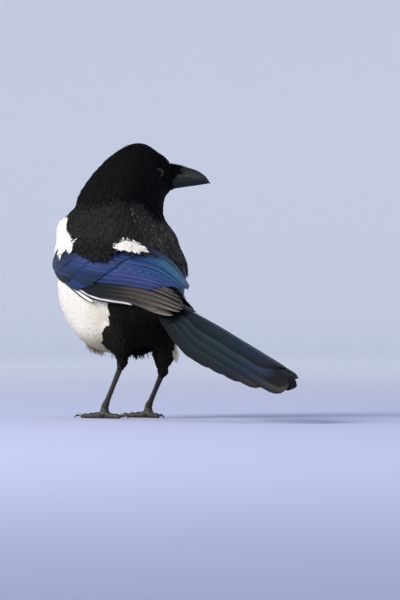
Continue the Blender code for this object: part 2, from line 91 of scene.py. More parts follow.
# The tail's root, its slope to the rear, its roll, and how far each half arches down.
TAIL_ROOT = Vector((0, 62, 101.5))
TAIL_SLOPE = math.radians(19.6)
TAIL_ROLL = math.radians(10)
TAIL_ARCH = {"left": 0.8, "right": 0.5}

# The edges of each folded wing from wrist to tip, and how far its face bulges out between.
LOWER_EDGE = {
    "left": (
        (39, -50, 127), (47, -15, 115), (43.5, 16, 104), (30, 50, 101), (21, 73, 96.5), (10, 98, 90),
    ),
    "right": (
        (-39, -50, 126), (-46, -15, 113), (-42, 16, 100), (-32, 44, 91), (-27, 68, 80), (-25, 90, 70),
    ),
}
UPPER_EDGE = {
    "left": (
        (41, -38, 158), (38, 0, 156), (30, 27, 153), (14, 44, 147), (-6, 58, 134), (-20, 71, 109),
    ),
    "right": (
        (-37, -35, 156), (-38, 0, 152), (-30, 22, 147), (-19, 35, 136), (-13, 45, 120), (-17, 61, 103),
    ),
}
WING_BULGE = {"left": (2, 7.5, 11, 11, 9, 4), "right": (5, 7, 5, 2, 1, 1)}


def clamp(value):
    return max(0.0, min(1.0, value))


def ease(low, high, value):
    """From 0 at low to 1 at high, with soft ends; low may be the larger of the two."""
    part = clamp((value - low) / (high - low))
    return part * part * (3 - 2 * part)


def tint(code):
    """A colour written as #rrggbb, as linear red, green and blue."""
    parts = [int(code[at:at + 2], 16) / 255 for at in (1, 3, 5)]
    return tuple(part / 12.92 if part <= 0.04045 else ((part + 0.055) / 1.055) ** 2.4 for part in parts)


def mix(one, two, share):
    return tuple(a + (b - a) * share for a, b in zip(one, two))


def coated(base, *coats):
    """A colour with others laid over it, each by its share."""
    for colour, share in coats:
        base = mix(base, colour, share)
    return base


def smooth_step(table, place):
    """Read a table of rows at a place from 0 to 1, on a smooth curve through them."""
    at = clamp(place) * (len(table) - 1)
    low = min(int(at), len(table) - 2)
    part = at - low
    rows = [table[max(0, min(len(table) - 1, low + step))] for step in (-1, 0, 1, 2)]
    a, b = 2 * part ** 3 - 3 * part ** 2 + 1, part ** 3 - 2 * part ** 2 + part
    c, d = 3 * part ** 2 - 2 * part ** 3, part ** 3 - part ** 2
    return [
        here * a + (there - before) / 2 * b + there * c + (after - here) / 2 * d
        for before, here, there, after in zip(*rows)
    ]


def rows_round(table, place):
    """The two rows of a table on both sides of a place."""
    for near, far in zip(table, table[1:]):
        if place <= far[0]:
            break
    return near, far


def read(table, place):
    """Read rows of place and value at a place, on straight lines between them."""
    near, far = rows_round(table, place)
    return near[1] + (far[1] - near[1]) * clamp((place - near[0]) / (far[0] - near[0]))


def head_point(ahead, left, rise):
    return HEAD_CENTRE + FORWARD * ahead + LEFT * left + UP * rise


def ahead_of_head(point):
    return (point - HEAD_CENTRE).dot(FORWARD)


def to_the_right(x, y):
    """How far a place lies to the right, as the camera sees the bird."""
    return 0.588 * y - 0.809 * x


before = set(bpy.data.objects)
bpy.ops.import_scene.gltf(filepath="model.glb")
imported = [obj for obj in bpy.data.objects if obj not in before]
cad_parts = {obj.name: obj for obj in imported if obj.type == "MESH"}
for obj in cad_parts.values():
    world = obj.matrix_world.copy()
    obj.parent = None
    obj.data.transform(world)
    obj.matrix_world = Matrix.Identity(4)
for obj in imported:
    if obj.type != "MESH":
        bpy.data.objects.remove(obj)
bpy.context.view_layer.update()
eye_low, eye_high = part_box("eye_right")
SHIFT = (eye_low + eye_high) / 2 / MM - head_point(EYE_CENTRE[0], -EYE_CENTRE[1], EYE_CENTRE[2])
SHIFT.z = 0


# Materials

# How far barbs run towards the tip for each metre from the shaft, and how far, in metres,
# they wander.
BARB_LEAN = -1.3
BARB_WANDER = 0.0012


def node(tree, kind, inputs, **settings):
    """Add a shader node; each input is a constant, or the socket that it is linked to."""
    made = tree.nodes.new(kind)
    for name, value in settings.items():
        setattr(made, name, value)
    for name, value in inputs.items():
        if isinstance(value, bpy.types.NodeSocket):
            tree.links.new(value, made.inputs[name])
        else:
            made.inputs[name].default_value = value
    return made


def finish(name, colour, roughness, specular, **more):
    """A Principled material; without a colour it takes the piece's own painted colours."""
    material = bpy.data.materials.new(name)
    material.use_nodes = True
    tree = material.node_tree
    shader = tree.nodes["Principled BSDF"]
    for words, value in {"Roughness": roughness, "Specular_IOR_Level": specular, **more}.items():
        shader.inputs[words.replace("_", " ")].default_value = value
    if colour is None:
        painted = node(tree, "ShaderNodeVertexColor", {}, layer_name="Paint")
        tree.links.new(painted.outputs["Color"], shader.inputs["Base Color"])
    else:
        shader.inputs["Base Color"].default_value = (*tint(colour), 1)
    return material


def raise_bumps(tree, height, depth_mm, strength):
    """Lead a height to the material's own normal."""
    bump = node(tree, "ShaderNodeBump", {"Height": height, "Strength": strength, "Distance": depth_mm * MM})
    tree.links.new(bump.outputs["Normal"], tree.nodes["Principled BSDF"].inputs["Normal"])


def add_bumps(material, size_mm, depth_mm, strength):
    """Fine noise bumps of a size in mm on a material."""
    tree = material.node_tree
    place = node(tree, "ShaderNodeTexCoord", {}).outputs["Object"]
    grain = node(tree, "ShaderNodeTexNoise", {"Vector": place, "Scale": 1000 / size_mm, "Detail": 3.0})
    raise_bumps(tree, grain.outputs["Fac"], depth_mm, strength)


def add_barbs(material, spacing_mm, strength):
    """Fine barb lines that slant away from the shaft and wander a little, read from the
    vane's own map, which is in metres across and along."""
    tree = material.node_tree
    flat = node(tree, "ShaderNodeUVMap", {}, uv_map="Vane").outputs["UV"]
    split = node(tree, "ShaderNodeSeparateXYZ", {"Vector": flat}).outputs
    rough = node(tree, "ShaderNodeTexNoise", {"Vector": flat, "Scale": 260.0, "Detail": 2.0}).outputs["Fac"]
    side = node(tree, "ShaderNodeMath", {0: split["X"]}, operation="ABSOLUTE").outputs[0]
    lean = node(
        tree, "ShaderNodeMath", {0: side, 1: BARB_LEAN, 2: split["Y"]}, operation="MULTIPLY_ADD"
    ).outputs[0]
    shift = node(
        tree, "ShaderNodeMath", {0: rough, 1: BARB_WANDER, 2: lean}, operation="MULTIPLY_ADD"
    ).outputs[0]
    turns = 2 * math.pi * 1000 / spacing_mm
    wave = node(tree, "ShaderNodeMath", {0: shift, 1: turns}, operation="MULTIPLY").outputs[0]
    line = node(tree, "ShaderNodeMath", {0: wave}, operation="SINE")
    raise_bumps(tree, line.outputs[0], 0.08, strength)


# Meshes


def place_object(name, data, material=None):
    """Put a mesh, lamp or camera into the scene as an object."""
    if material:
        data.materials.append(material)
    item = bpy.data.objects.new(name, data)
    bpy.context.scene.collection.objects.link(item)
    return item


def mesh_from(name, bm):
    mesh = bpy.data.meshes.new(name)
    bm.to_mesh(mesh)
    bm.free()
    return mesh


def grid_faces(rows, columns, start=0):
    """Faces over rows of points, all counted from a start."""
    firsts = [start + row * columns + column for row in range(rows - 1) for column in range(columns - 1)]
    return [(a, a + 1, a + columns + 1, a + columns) for a in firsts]


def paint_points(mesh, colours):
    """Give each point of a mesh its painted colour."""
    paint = mesh.color_attributes.new("Paint", "FLOAT_COLOR", "POINT")
    paint.data.foreach_set("color", [value for colour in colours for value in (*colour, 1.0)])


class Bank:
    """Collects vertices in mm, faces, colours and maps of one kind of feather."""

    def __init__(self, name, material, slot, most=190000):
        self.name, self.material, self.slot, self.most = name, material, slot, most
        self.made = []
        self.clear()

    def clear(self):
        self.points, self.faces, self.colours, self.bake, self.flat = [], [], [], [], []
        self.triangles = 0

    def add(self, points, faces, colours, bake, flat=None):
        start = len(self.points)
        self.points += [(point + SHIFT) * MM for point in points]
        self.faces += [tuple(start + index for index in face) for face in faces]
        self.colours += colours
        self.bake += bake
        self.flat += flat or [(0.0, 0.0)] * len(points)
        self.triangles += sum(len(face) - 2 for face in faces)
        if self.triangles > self.most:
            self.write()

    def write(self):
        if not self.faces:
            return
        number = len(self.made) + 1
        mesh = bpy.data.meshes.new(f"{self.name}_{number}")
        mesh.from_pydata(self.points, [], self.faces)
        mesh.shade_smooth()
        paint_points(mesh, self.colours)
        corners = [index for face in self.faces for index in face]
        for name, spots in (("OFBake", self.bake), ("Vane", self.flat)):
            layer = mesh.uv_layers.new(name=name)
            layer.data.foreach_set("uv", [value for index in corners for value in spots[index]])
        item = place_object(mesh.name, mesh, self.material)
        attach(item, "root")
        self.made.append(item)
        self.clear()


def object_from(name, bm, material):
    """Make a smooth object that rides on the bird from a mesh in mm, with its baking map."""
    for vertex in bm.verts:
        vertex.co = (vertex.co + SHIFT) * MM
    bmesh.ops.recalc_face_normals(bm, faces=bm.faces)
    mesh = mesh_from(name, bm)
    mesh.shade_smooth()
    item = place_object(name, mesh, material)
    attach(item, "root")
    unwrap(item)
    return item


def loft(bm, rings, closed=False):
    """Skin over rings of points; the two end rings are capped, or joined when closed."""
    loops = [[bm.verts.new(point) for point in ring] for ring in rings]
    count = len(loops[0])
    for one, two in zip(loops, loops[1:] + loops[:1] if closed else loops[1:]):
        for index in range(count):
            after = (index + 1) % count
            bm.faces.new((one[index], one[after], two[after], two[index]))
    if not closed:
        bm.faces.new(loops[0])
        bm.faces.new(loops[-1])


def unwrap(item):
    """Lay the object's own shape out flat as its map for baking."""
    bpy.ops.object.select_all(action="DESELECT")
    bpy.context.view_layer.objects.active = item
    item.select_set(True)
    bpy.ops.object.mode_set(mode="EDIT")
    bpy.ops.mesh.select_all(action="SELECT")
    bpy.ops.uv.smart_project(angle_limit=math.radians(66), island_margin=0.004)
    bpy.ops.object.mode_set(mode="OBJECT")
    item.data.uv_layers[0].name = "OFBake"


def faces_of(mesh):
    return [tuple(polygon.vertices) for polygon in mesh.polygons]


def shape_of(item):
    """Points in mm and faces of an object, for feathers to lie on."""
    return [vertex.co / MM - SHIFT for vertex in item.data.vertices], faces_of(item.data)


def fuse(name, bm, voxel_mm, turns):
    """Fuse the solids in a mesh to one smoothed skin: its object, and its mesh in mm."""
    item = place_object(name, mesh_from(name, bm))
    remesh = item.modifiers.new("remesh", "REMESH")
    remesh.mode = "VOXEL"
    remesh.voxel_size = voxel_mm * MM
    even = item.modifiers.new("even", "SMOOTH")
    even.factor = 0.5
    even.iterations = turns
    graph = bpy.context.evaluated_depsgraph_get()
    mesh = bpy.data.meshes.new_from_object(item.evaluated_get(graph))
    item.modifiers.clear()
    item.data = mesh
    bm = bmesh.new()
    bm.from_mesh(mesh)
    for vertex in bm.verts:
        vertex.co = vertex.co / MM - SHIFT
    bm.normal_update()
    return item, bm


# The skin under the feathers


def coat_depth(point):
    """How far the skin lies inside the plumage, in mm."""
    head = ease(185, 205, point.z) * ease(-40, 0, ahead_of_head(point))
    smooth = ease(26, 10, point.y) * ease(152, 140, point.z)
    eye_pit = ease(7.6, 4.0, from_eye(point))
    return 2.6 - 1.2 * smooth - 2.1 * head - 1.6 * ease(62, 50, point.z) + 2.3 * eye_pit


def from_eye(point):
    """How far a point of the head lies from the eye on its side, seen from that side."""
    offset = point - HEAD_CENTRE
    if abs(offset.dot(LEFT)) < 7:
        return 99.0
    return math.hypot(offset.dot(FORWARD) - EYE_CENTRE[0], offset.z - EYE_CENTRE[2])


# Where the plumage is puffed out beyond the solids: middle, radius and height in mm.
SWELLS = (
    ((35, -36, 163), 12, 7.5), ((35, -8, 161), 18, 6.5), ((26, 22, 158), 20, 5),
    ((-27, 23, 153), 19, 5.5), ((-22, 36, 126), 18, 3), ((32, -40, 100), 26, 4.2),
    ((12, 34, 158), 18, 2), ((15, -27, 70), 20, 5.5), ((-26.7, 9.6, 231), 9, -2.2),
    ((-12.5, 4.7, 233), 13, 1.5), ((-5.5, 2.3, 230), 18, 2.9), ((-30.5, 10.9, 226), 9, 1.5),
    ((9, -8, 222), 11, 2.8), ((20, -17, 207), 14, 3.0), ((28, -26, 189), 14, 2.4),
    ((33, -33, 173), 12, 2.8), ((37, -39, 159), 13, 3.2), ((41, -41, 142), 14, 3.0),
)


def swell(point):
    """How far the plumage stands out beyond the solids, with a ledge at the nape's lower edge."""
    nape = nape_height(point)
    ledge = 1.7 * ease(-2, 4, nape) * ease(26, 8, nape) * ease(12, -6, ahead_of_head(point))
    return ledge + sum(
        high * math.exp(-((point - Vector(middle)).length / wide) ** 2) for middle, wide, high in SWELLS
    )


def draw_back(point):
    """Pull the front end of the skin in behind the base of the bill."""
    ahead = ahead_of_head(point)
    if ahead <= 19 or point.z < 188:
        return point
    axis = head_point(ahead, 0, -4.5)
    return axis + (point - axis) * (1 - 0.45 * ease(19, 26, ahead)) - FORWARD * ((ahead - 19) * 0.45)


def make_skin():
    """One smooth skin for head, neck, body and thighs, inside the plumage's surface."""
    bm = bmesh.new()
    for name in ("head", "neck", "torso", "thigh_left", "thigh_right"):
        bm.from_mesh(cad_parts[name].data)
    bmesh.ops.remove_doubles(bm, verts=bm.verts, dist=1e-6)
    skin, bm = fuse("skin", bm, 1.5, 5)
    for vertex in bm.verts:
        rise = swell(vertex.co) - coat_depth(vertex.co)
        vertex.co = draw_back(vertex.co + vertex.normal * rise)
    bmesh.ops.smooth_vert(bm, verts=bm.verts, factor=0.5, use_axis_x=True, use_axis_y=True, use_axis_z=True)
    bmesh.ops.triangulate(bm, faces=bm.faces)
    bm.normal_update()
    skin.data = mesh_from("skin", bm)
    unwrap(skin)
    skin.data.shade_smooth()
    return skin


# Bill, lids and legs


# How many rings each half of the bill has, and how many points each ring.
BILL_RINGS, BILL_CORNERS = 45, 48


def make_bill(material):
    """Both halves of the closed bill, the upper one closing over the lower."""
    made = []
    for name, upper in (("upper_bill", True), ("lower_bill", False)):
        bm = bmesh.new()
        rings = []
        for step in range(BILL_RINGS):
            ahead, top, mouth, keel, half = smooth_step(BILL, (step / (BILL_RINGS - 1)) ** 0.9)
            ring = []
            for turn in range(BILL_CORNERS):
                angle = 2 * math.pi * turn / BILL_CORNERS
                wide, high = math.cos(angle), math.sin(angle)
                if upper:
                    rise = mouth + (top - mouth) * high if high > 0 else mouth + 0.5 * high
                    side = half * math.copysign(abs(wide) ** 0.9, wide)
                else:
                    rise = mouth + (mouth - keel) * high if high < 0 else mouth + 0.35 * high
                    side = half * 0.93 * wide
                    ahead = min(ahead, 56.2)
                point = head_point(ahead, side, rise)
                for sign in (1, -1):
                    pit = head_point(NOSTRIL[0], NOSTRIL[1] * sign, NOSTRIL[2])
                    point -= LEFT * (sign * 0.8 * ease(1.7, 0.6, (point - pit).length))
                ring.append(point)
            rings.append(ring)
        loft(bm, rings)
        made.append(object_from(name, bm, material))
    return made


def make_eyes(material):
    """Smooth eyeballs with the clear front bulging a little."""
    for side, sign in (("left", 1), ("right", -1)):
        bm = bmesh.new()
        bmesh.ops.create_uvsphere(bm, u_segments=48, v_segments=32, radius=EYE_RADIUS)
        middle = head_point(EYE_CENTRE[0], EYE_CENTRE[1] * sign, EYE_CENTRE[2])
        for vertex in bm.verts:
            out = vertex.co.dot(LEFT * sign) / EYE_RADIUS
            vertex.co = middle + vertex.co * (0.98 + 0.06 * ease(0.8, 1, out))
        eye = object_from("eyeball_" + side, bm, material)
        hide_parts("eye_" + side)


LID_STEPS = 48


def make_lids(material):
    """A thin rim of bare skin round each eye."""
    bm = bmesh.new()
    corners = [math.pi * corner / 4 for corner in range(8)]
    for sign in (1, -1):
        side = LEFT * sign
        rings = []
        for step in range(LID_STEPS):
            turn = 2 * math.pi * step / LID_STEPS
            wide, high = math.cos(turn), math.sin(turn)
            out = FORWARD * wide + UP * high
            ahead, rise = EYE_CENTRE[0] + 3.6 * wide, EYE_CENTRE[2] + 3.2 * high
            middle = head_point(ahead, (EYE_CENTRE[1] + 2.6) * sign, rise)
            thick = 0.62 + 0.1 * math.sin(9 * turn) ** 2
            rings.append([
                middle + (out * math.cos(angle) + side * math.sin(angle)) * thick for angle in corners
            ])
        loft(bm, rings, closed=True)
    object_from("eyelids", bm, material)


def make_leg(side, sign, material):
    """Scaly skin over shank and toes, with a heel joint that runs up into the thigh."""
    ankle = Vector((FOOT_X * sign, FOOT_Y[side], ANKLE_Z))
    heel = Vector(HEEL[side])
    bm = bmesh.new()
    for name in ("tarsus_", "toe_"):
        for node_name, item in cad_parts.items():
            if node_name.startswith(name + side):
                bm.from_mesh(item.data)
    thigh = heel + Vector((0, -5, 16))
    for middle, radius, squash in ((heel, 3.9, 1), (ankle - UP * 2.5, 3.6, 1), (ankle - UP * 6, 4.2, 0.75)):
        ball = bmesh.ops.create_icosphere(bm, subdivisions=3, radius=radius * MM)["verts"]
        for vertex in ball:
            vertex.co = Vector((vertex.co.x, vertex.co.y, vertex.co.z * squash)) + (middle + SHIFT) * MM
    run = thigh - heel
    shin = bmesh.ops.create_cone(
        bm, cap_ends=True, segments=20, radius1=3.2 * MM, radius2=6 * MM, depth=run.length * MM
    )
    turn = run.to_track_quat("Z", "Y")
    for vertex in shin["verts"]:
        vertex.co = turn @ vertex.co + ((heel + thigh) / 2 + SHIFT) * MM
    leg, bm = fuse("leg_" + side, bm, 0.42, 6)
    bones = [(ankle, heel, 3.3, None)]
    for angle, length in TOES:
        course = Vector((math.sin(math.radians(angle)) * sign, -math.cos(math.radians(angle)), 0))
        start = Vector((ankle.x, ankle.y, 2.4)) + course * 3
        bones.append((start, start + course * length, 1.9, course))
    shades = []
    for vertex in bm.verts:
        reaches = []
        for start, end, pitch, course in bones:
            run = end - start
            along = (vertex.co - start).dot(run) / run.length_squared
            away = (vertex.co - start.lerp(end, clamp(along))).length
            reaches.append((away, along * run.length, pitch, course))
        away, along, pitch, course = min(reaches, key=lambda reach: reach[0])
        front = ease(-0.5, 0.1, vertex.normal.z if course else -vertex.normal.y)
        saw = (along / pitch + 0.12 * noise.noise(vertex.co * 0.5)) % 1
        groove = ease(0.16, 0.0, saw) + ease(0.9, 1.0, saw)
        plate = 0.34 * (1 - saw) * front - 0.3 * groove * front
        pad = 0.0 if not course else 0.55 + 0.35 * math.sin(along * 0.75)
        grain = 0.12 * noise.noise(vertex.co * 1.6) + 0.08 * noise.noise(vertex.co * 3.5)
        place = vertex.co + vertex.normal * (plate + pad + grain)
        vertex.co = (Vector((place.x, place.y, max(FLOOR_GAP, place.z))) + SHIFT) * MM
        shades.append(0.1 - 0.55 * groove * front + 0.25 * grain / 0.12 - 0.2 * (1 - front))
    bm.to_mesh(leg.data)
    bm.free()
    unwrap(leg)
    paint_points(leg.data, [shade(LEG, amount) for amount in shades])
    leg.data.materials.append(material)
    leg.data.shade_smooth()
    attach(leg, "root")
    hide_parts("tarsus_" + side, *[f"toe_{side}_{number}" for number in (1, 2, 3, 4)])
    return leg


# Markings and the lie of the feathers

BLACK = tint("#060607")
MANTLE = tint("#1f1e1e")
MANTLE_GREY = tint("#3c3b39")
WHITE = tint("#f6f2e8")
# Painted shade on the white plumage, warm cream in tone.
SHADE_CREAM = tint("#aca070")
VENT = tint("#12100e")
LEG = tint("#27261f")
FLECK = tint("#8a867c")

# Where the white shoulder ends towards the rear, by height in mm.
SHOULDER_EDGE = ((141, -1), (147, -2), (153, -8), (163, -22), (174, -30), (181, -44))
# How far down the scapulars and mantle reach over the folded wing: along it, across it.
LOBE_EDGE = (
    (-0.1, 0.48), (0, 0.48), (0.07, 0.46), (0.19, 0.62), (0.25, 0.6), (0.31, 0.54), (0.4, 0.53),
    (0.47, 0.57), (0.51, 0.74), (0.56, 0.86), (0.65, 0.96), (0.75, 1.04), (1.1, 1.3),
)


def shade(colour, amount):
    return tuple(max(0.0, value * (1 + amount)) for value in colour)


def on_shoulder(point):
    """Whether a point lies on the white shoulder above the front of a wing."""
    x, y, z = point
    return abs(x) > 18 and 140 < z < 180 and y < read(SHOULDER_EDGE, z)


def wing_zone(side, along, across, point):
    """What lies over the top of a folded wing: "white" scapulars, "black" mantle, or None."""
    if side == "right":
        along, across = along + 0.18, across + 0.2
    if across < read(LOBE_EDGE, along):
        return None
    return "white" if on_shoulder(point) else "black"


def wing_place(point):
    """The nearest side, and the place along and across that wing."""
    return WING_SPOTS[WING_TREE.find(point)[1]]


def nape_height(point):
    """Height above the line where the black nape meets the mantle."""
    side = to_the_right(point.x, point.y)
    return point.z - 188 + 22 * ease(8, 38, side) + 4 * ease(0, -40, side) - 3 * noise.noise(point * 0.15)


def body_mark(point, normal):
    """The plumage's colour at a point of the body, and whether it is white."""
    x, y, z = point
    if on_shoulder(point):
        return WHITE, True
    front = ease(0.2, -0.5, normal.y)
    collar = 152 - 14 * front * (1 - abs(x) / 46) - 18 * ease(-14, -4, y) + 2.5 * noise.noise(point * 0.09)
    rear = min(26, 10 + (z - 60) * 0.78) + 3 * noise.noise(point * 0.12)
    white = 52 < z < collar and y < rear
    if z < 66 and y > 5 + (z - 52) * 0.5:
        white = to_the_right(x, y) > 42 and z > 50
    if white:
        # Painted shade: the white turns cream low on the belly where it faces down, and on the lower body
        # further back.
        painted_shade = ease(86, 64, z) * ease(0.5, -0.6, normal.z) + 0.3 * ease(-12, 14, y) * ease(120, 90, z)
        return mix(WHITE, SHADE_CREAM, min(0.95, 0.9 * painted_shade)), True
    nape = nape_height(point)
    if nape > 6:
        return BLACK, False
    if z > 118 or (normal.z > 0.1 and z > 100):
        grey = ease(0, 40, y - 1.4 * x) * (0.55 + 0.6 * noise.noise(point * 0.2)) * ease(112, 140, z)
        streaks = max(0, 0.8 * grey * ease(2, -4, nape))
        return coated(MANTLE, (BLACK, ease(-7, 4, nape)), (MANTLE_GREY, streaks)), False
    return VENT, False


def lie(point, normal):
    """The direction that the feathers point in at a place on the body."""
    from_head = point - HEAD_CENTRE
    ahead, rise = from_head.dot(FORWARD), from_head.z
    head = ease(186, 204, point.z)
    if ahead > 5:
        head = max(head, ease(183, 192, point.z))
    nape = ease(8, -22, ahead)
    on_head = -FORWARD * (1 - 0.55 * nape) - UP * (0.18 + 0.9 * nape + 0.25 * ease(4, -16, rise))
    rump = ease(30, 55, point.y) * ease(125, 100, point.z)
    belly = ease(-0.2, -0.9, normal.z) * ease(100, 80, point.z)
    thigh = ease(72, 60, point.z) * ease(10, 24, point.y) * (1 if abs(point.x) > 9 else 0)
    flow = Vector((0, 0.38, -0.92))
    for way, share in (
        (Vector((0, 0.94, -0.33)), rump), (Vector((0, 1, -0.15)), belly),
        (Vector((0, 0.3, -1)), thigh), (on_head, head),
    ):
        flow = flow.lerp(way, share)
    return (flow - normal * flow.dot(normal)).normalized()


# The folded wings


def clear_of_body(point, margin):
    """A point pushed out level to a margin outside the body's oval, if it lies inside that."""
    index = 0
    while index < len(BODY_OVALS) - 2 and BODY_OVALS[index + 1][0] < point.z:
        index += 1
    below, above = BODY_OVALS[index][0], BODY_OVALS[index + 1][0]
    row = smooth_step(BODY_OVALS, (index + (point.z - below) / (above - below)) / (len(BODY_OVALS) - 1))
    left, back, half_wide, half_deep = row[1], row[2], row[3] + margin, row[4] + margin
    wide, deep = abs(point.x - left) / half_wide, abs(point.y - back) / half_deep
    reach = (wide ** OVAL_POWER + deep ** OVAL_POWER) ** (1 / OVAL_POWER)
    if reach >= 1:
        return point
    return Vector((left + (point.x - left) / reach, back + (point.y - back) / reach, point.z))


def wing_frame(side, along):
    """The wing's lower and upper point, its bulge and outward direction at a place along it."""
    lower, upper = LOWER_EDGE[side], UPPER_EDGE[side]
    low, high = Vector(smooth_step(lower, along)), Vector(smooth_step(upper, along))
    bulge = smooth_step([(value,) for value in WING_BULGE[side]], along)[0]
    run = Vector(smooth_step(lower, along + 0.05)) - Vector(smooth_step(lower, along - 0.05))
    outward = run.cross(high - low).normalized()
    if side == "right":
        outward = -outward
    return low, high, bulge, outward


# The frames are worked out once, at even steps from a little before the wrist.
FRAME_START, FRAME_STEPS, FRAME_COUNT = -0.1, 100, 131
WING_FRAMES = {
    side: [wing_frame(side, step / FRAME_STEPS + FRAME_START) for step in range(FRAME_COUNT)]
    for side in ("left", "right")
}


def wing_point(side, along, across, lift=0.0):
    """A point of a folded wing: 0 to 1 from wrist to tip, 0 to 1 from lower to upper edge."""
    at = max(0.0, min(FRAME_COUNT - 1.001, (along - FRAME_START) * FRAME_STEPS))
    index = int(at)
    one, two = WING_FRAMES[side][index], WING_FRAMES[side][index + 1]
    low, high = one[0].lerp(two[0], at - index), one[1].lerp(two[1], at - index)
    bulge = one[2] + (two[2] - one[2]) * (at - index)
    outward = one[3].lerp(two[3], at - index).normalized()
    point = low.lerp(high, across) + outward * (4 * across * (1 - across) * bulge)
    return clear_of_body(point, 1.4) + outward * lift


def wing_width(side, along):
    index = max(0, min(FRAME_COUNT - 1, int((along - FRAME_START) * FRAME_STEPS)))
    low, high = WING_FRAMES[side][index][:2]
    return (high - low).length


# Spots all over both wings, to find the place on a wing that is nearest to a point.
WING_SPOTS = [
    (side, row / 50 - 0.1, 0.3 + column / 30)
    for side in ("left", "right") for row in range(58) for column in range(28)
]
WING_TREE = KDTree(len(WING_SPOTS))
for spot_index, (spot_side, spot_along, spot_across) in enumerate(WING_SPOTS):
    WING_TREE.insert(wing_point(spot_side, spot_along, spot_across), spot_index)
WING_TREE.balance()

# Outlines of vanes: place from root to tip, share of the outer width, share of the inner width.
FLIGHT = (
    (0, 0.2, 0.2), (0.12, 0.5, 0.6), (0.4, 1, 1), (0.8, 1, 1), (0.92, 0.9, 0.86), (0.98, 0.55, 0.5),
    (1, 0.1, 0.1),
)
COVERT = (
    (0, 0.3, 0.3), (0.2, 0.8, 0.8), (0.5, 1, 1), (0.8, 0.95, 0.95), (0.93, 0.66, 0.66), (1, 0.08, 0.08),
)
ROUND = (
    (0, 0.3, 0.3), (0.12, 0.7, 0.7), (0.4, 1, 1), (0.86, 1, 1), (0.92, 0.95, 0.94), (0.96, 0.83, 0.8),
    (0.985, 0.6, 0.56), (0.996, 0.32, 0.3), (1, 0.05, 0.05),
)
SLIVER = ((0, 0.3, 0.3), (0.3, 1, 1), (0.7, 0.9, 0.9), (0.9, 0.5, 0.5), (1, 0.05, 0.05))
# Where a vane's points lie from its outer edge over the shaft to its inner edge.
ACROSS = (-1, -0.86, -0.5, -0.07, 0, 0.07, 0.5, 0.86, 1)


def outline_at(outline, part):
    """The share of the outer and of the inner width at a part of a vane's length."""
    near, far = rows_round(outline, part)
    share = ease(near[0], far[0], part)
    return near[1] + (far[1] - near[1]) * share, near[2] + (far[2] - near[2]) * share


def stations(count):
    """Places from 0 to 1, closer together towards the tip."""
    return [1 - (1 - step / count) ** 1.8 for step in range(count + 1)]


def grow_vane(bank, surface, colour, outline, outer, inner, cell, count=12, thick=0.22, shaft=0.35,
              split=0.06, length_mm=60):
    """A closed vane: surface(part, mm, height) gives its points, colour(part, f) its colours."""
    over, under, paint, flat, bake = [], [], [], [], []
    wave = CHANCE.random() * 20
    columns, rows = len(ACROSS), count + 1
    for part in stations(count):
        wide_out, wide_in = outline_at(outline, part)
        nick = 1 - split * (1 + noise.noise(Vector((part * 9, wave, 0)))) * ease(0.2, 0.6, part)
        for f in ACROSS:
            half = (outer * wide_out if f < 0 else inner * wide_in) * (nick if abs(f) > 0.9 else 1)
            ridge = shaft * (1 - 0.7 * part) if f == 0 else 0
            body = thick * (1 - 0.85 * f * f)
            droop = -0.5 * f * f * min(1, half / 6)
            over.append(surface(part, f * half, droop + body + ridge))
            under.append(surface(part, f * half, droop))
            paint.append(colour(part, f))
            flat.append((f * half * MM, part * length_mm * MM))
            bake.append((cell[0] + cell[2] * (f + 1) / 2, cell[1] + cell[3] * part))
    # The upper face, the lower face turned round, and a wall all along the rim.
    lower = rows * columns
    faces = grid_faces(rows, columns)
    faces += [tuple(lower + index for index in (a, d, c, b)) for a, b, c, d in faces]
    rim = [*range(columns), *range(2 * columns - 1, lower, columns)]
    rim += [*range(lower - 2, lower - columns - 1, -1), *range(lower - 2 * columns, 0, -columns)]
    faces += [(a, lower + a, lower + b, b) for a, b in zip(rim, rim[1:] + rim[:1])]
    bank.add(over + under, faces, paint * 2, bake * 2, flat * 2)


class Cells:
    """Hands out one rectangle of the baking map to each vane."""

    def __init__(self, columns, rows):
        self.columns, self.rows, self.used = columns, rows, 0

    def take(self):
        column, row = self.used % self.columns, self.used // self.columns % self.rows
        self.used += 1
        wide, high = 1 / self.columns, 1 / self.rows
        return (column + 0.05) * wide, (row + 0.03) * high, 0.9 * wide, 0.94 * high


COBALT = tint("#14264a")
ROYAL = tint("#1b3169")
VIOLET = tint("#28265c")
# Painted sheen: teal and cyan stand for light glancing off the glossy inner secondaries near their tips and
# along their outer rims.
TEAL_SHEEN = tint("#225c7a")
CYAN_GLINT = tint("#6fb0c8")
SEA = tint("#142a2e")
INK = tint("#090b11")
SEA_INK = tint("#101816")
PRIMARY = tint("#312b28")
PRIMARY_RED = tint("#39322d")
PRIMARY_EDGE = tint("#736c67")
VANE_WHITE = tint("#d8d6d2")


# Each function below makes the colours of one vane: part runs from root to tip, f from -1 at
# the outer edge over 0 at the shaft to 1 at the inner edge.


def primary_colour(number, count):
    tone = 0.12 * CHANCE.uniform(-1, 1)

    def colour(part, f):
        if number < 2:
            return mix(VANE_WHITE if f > -0.2 else INK, INK, ease(0.93, 0.99, part))
        base = coated(
            PRIMARY, (PRIMARY_RED, 0.5 * (number % 3 == 1)), (SEA_INK, ease(0.62, 0.4, part)),
            (INK, 0.6 * (f > 0.02)), (PRIMARY_EDGE, 0.4 * ease(0.35, 0.6, part) * (f < -0.8)),
        )
        if f == 0:
            base = shade(base, -0.35)
        return shade(mix(base, PRIMARY_EDGE, 0.2 * ease(0.75, 0.95, part) * (f < 0)), tone)

    return colour


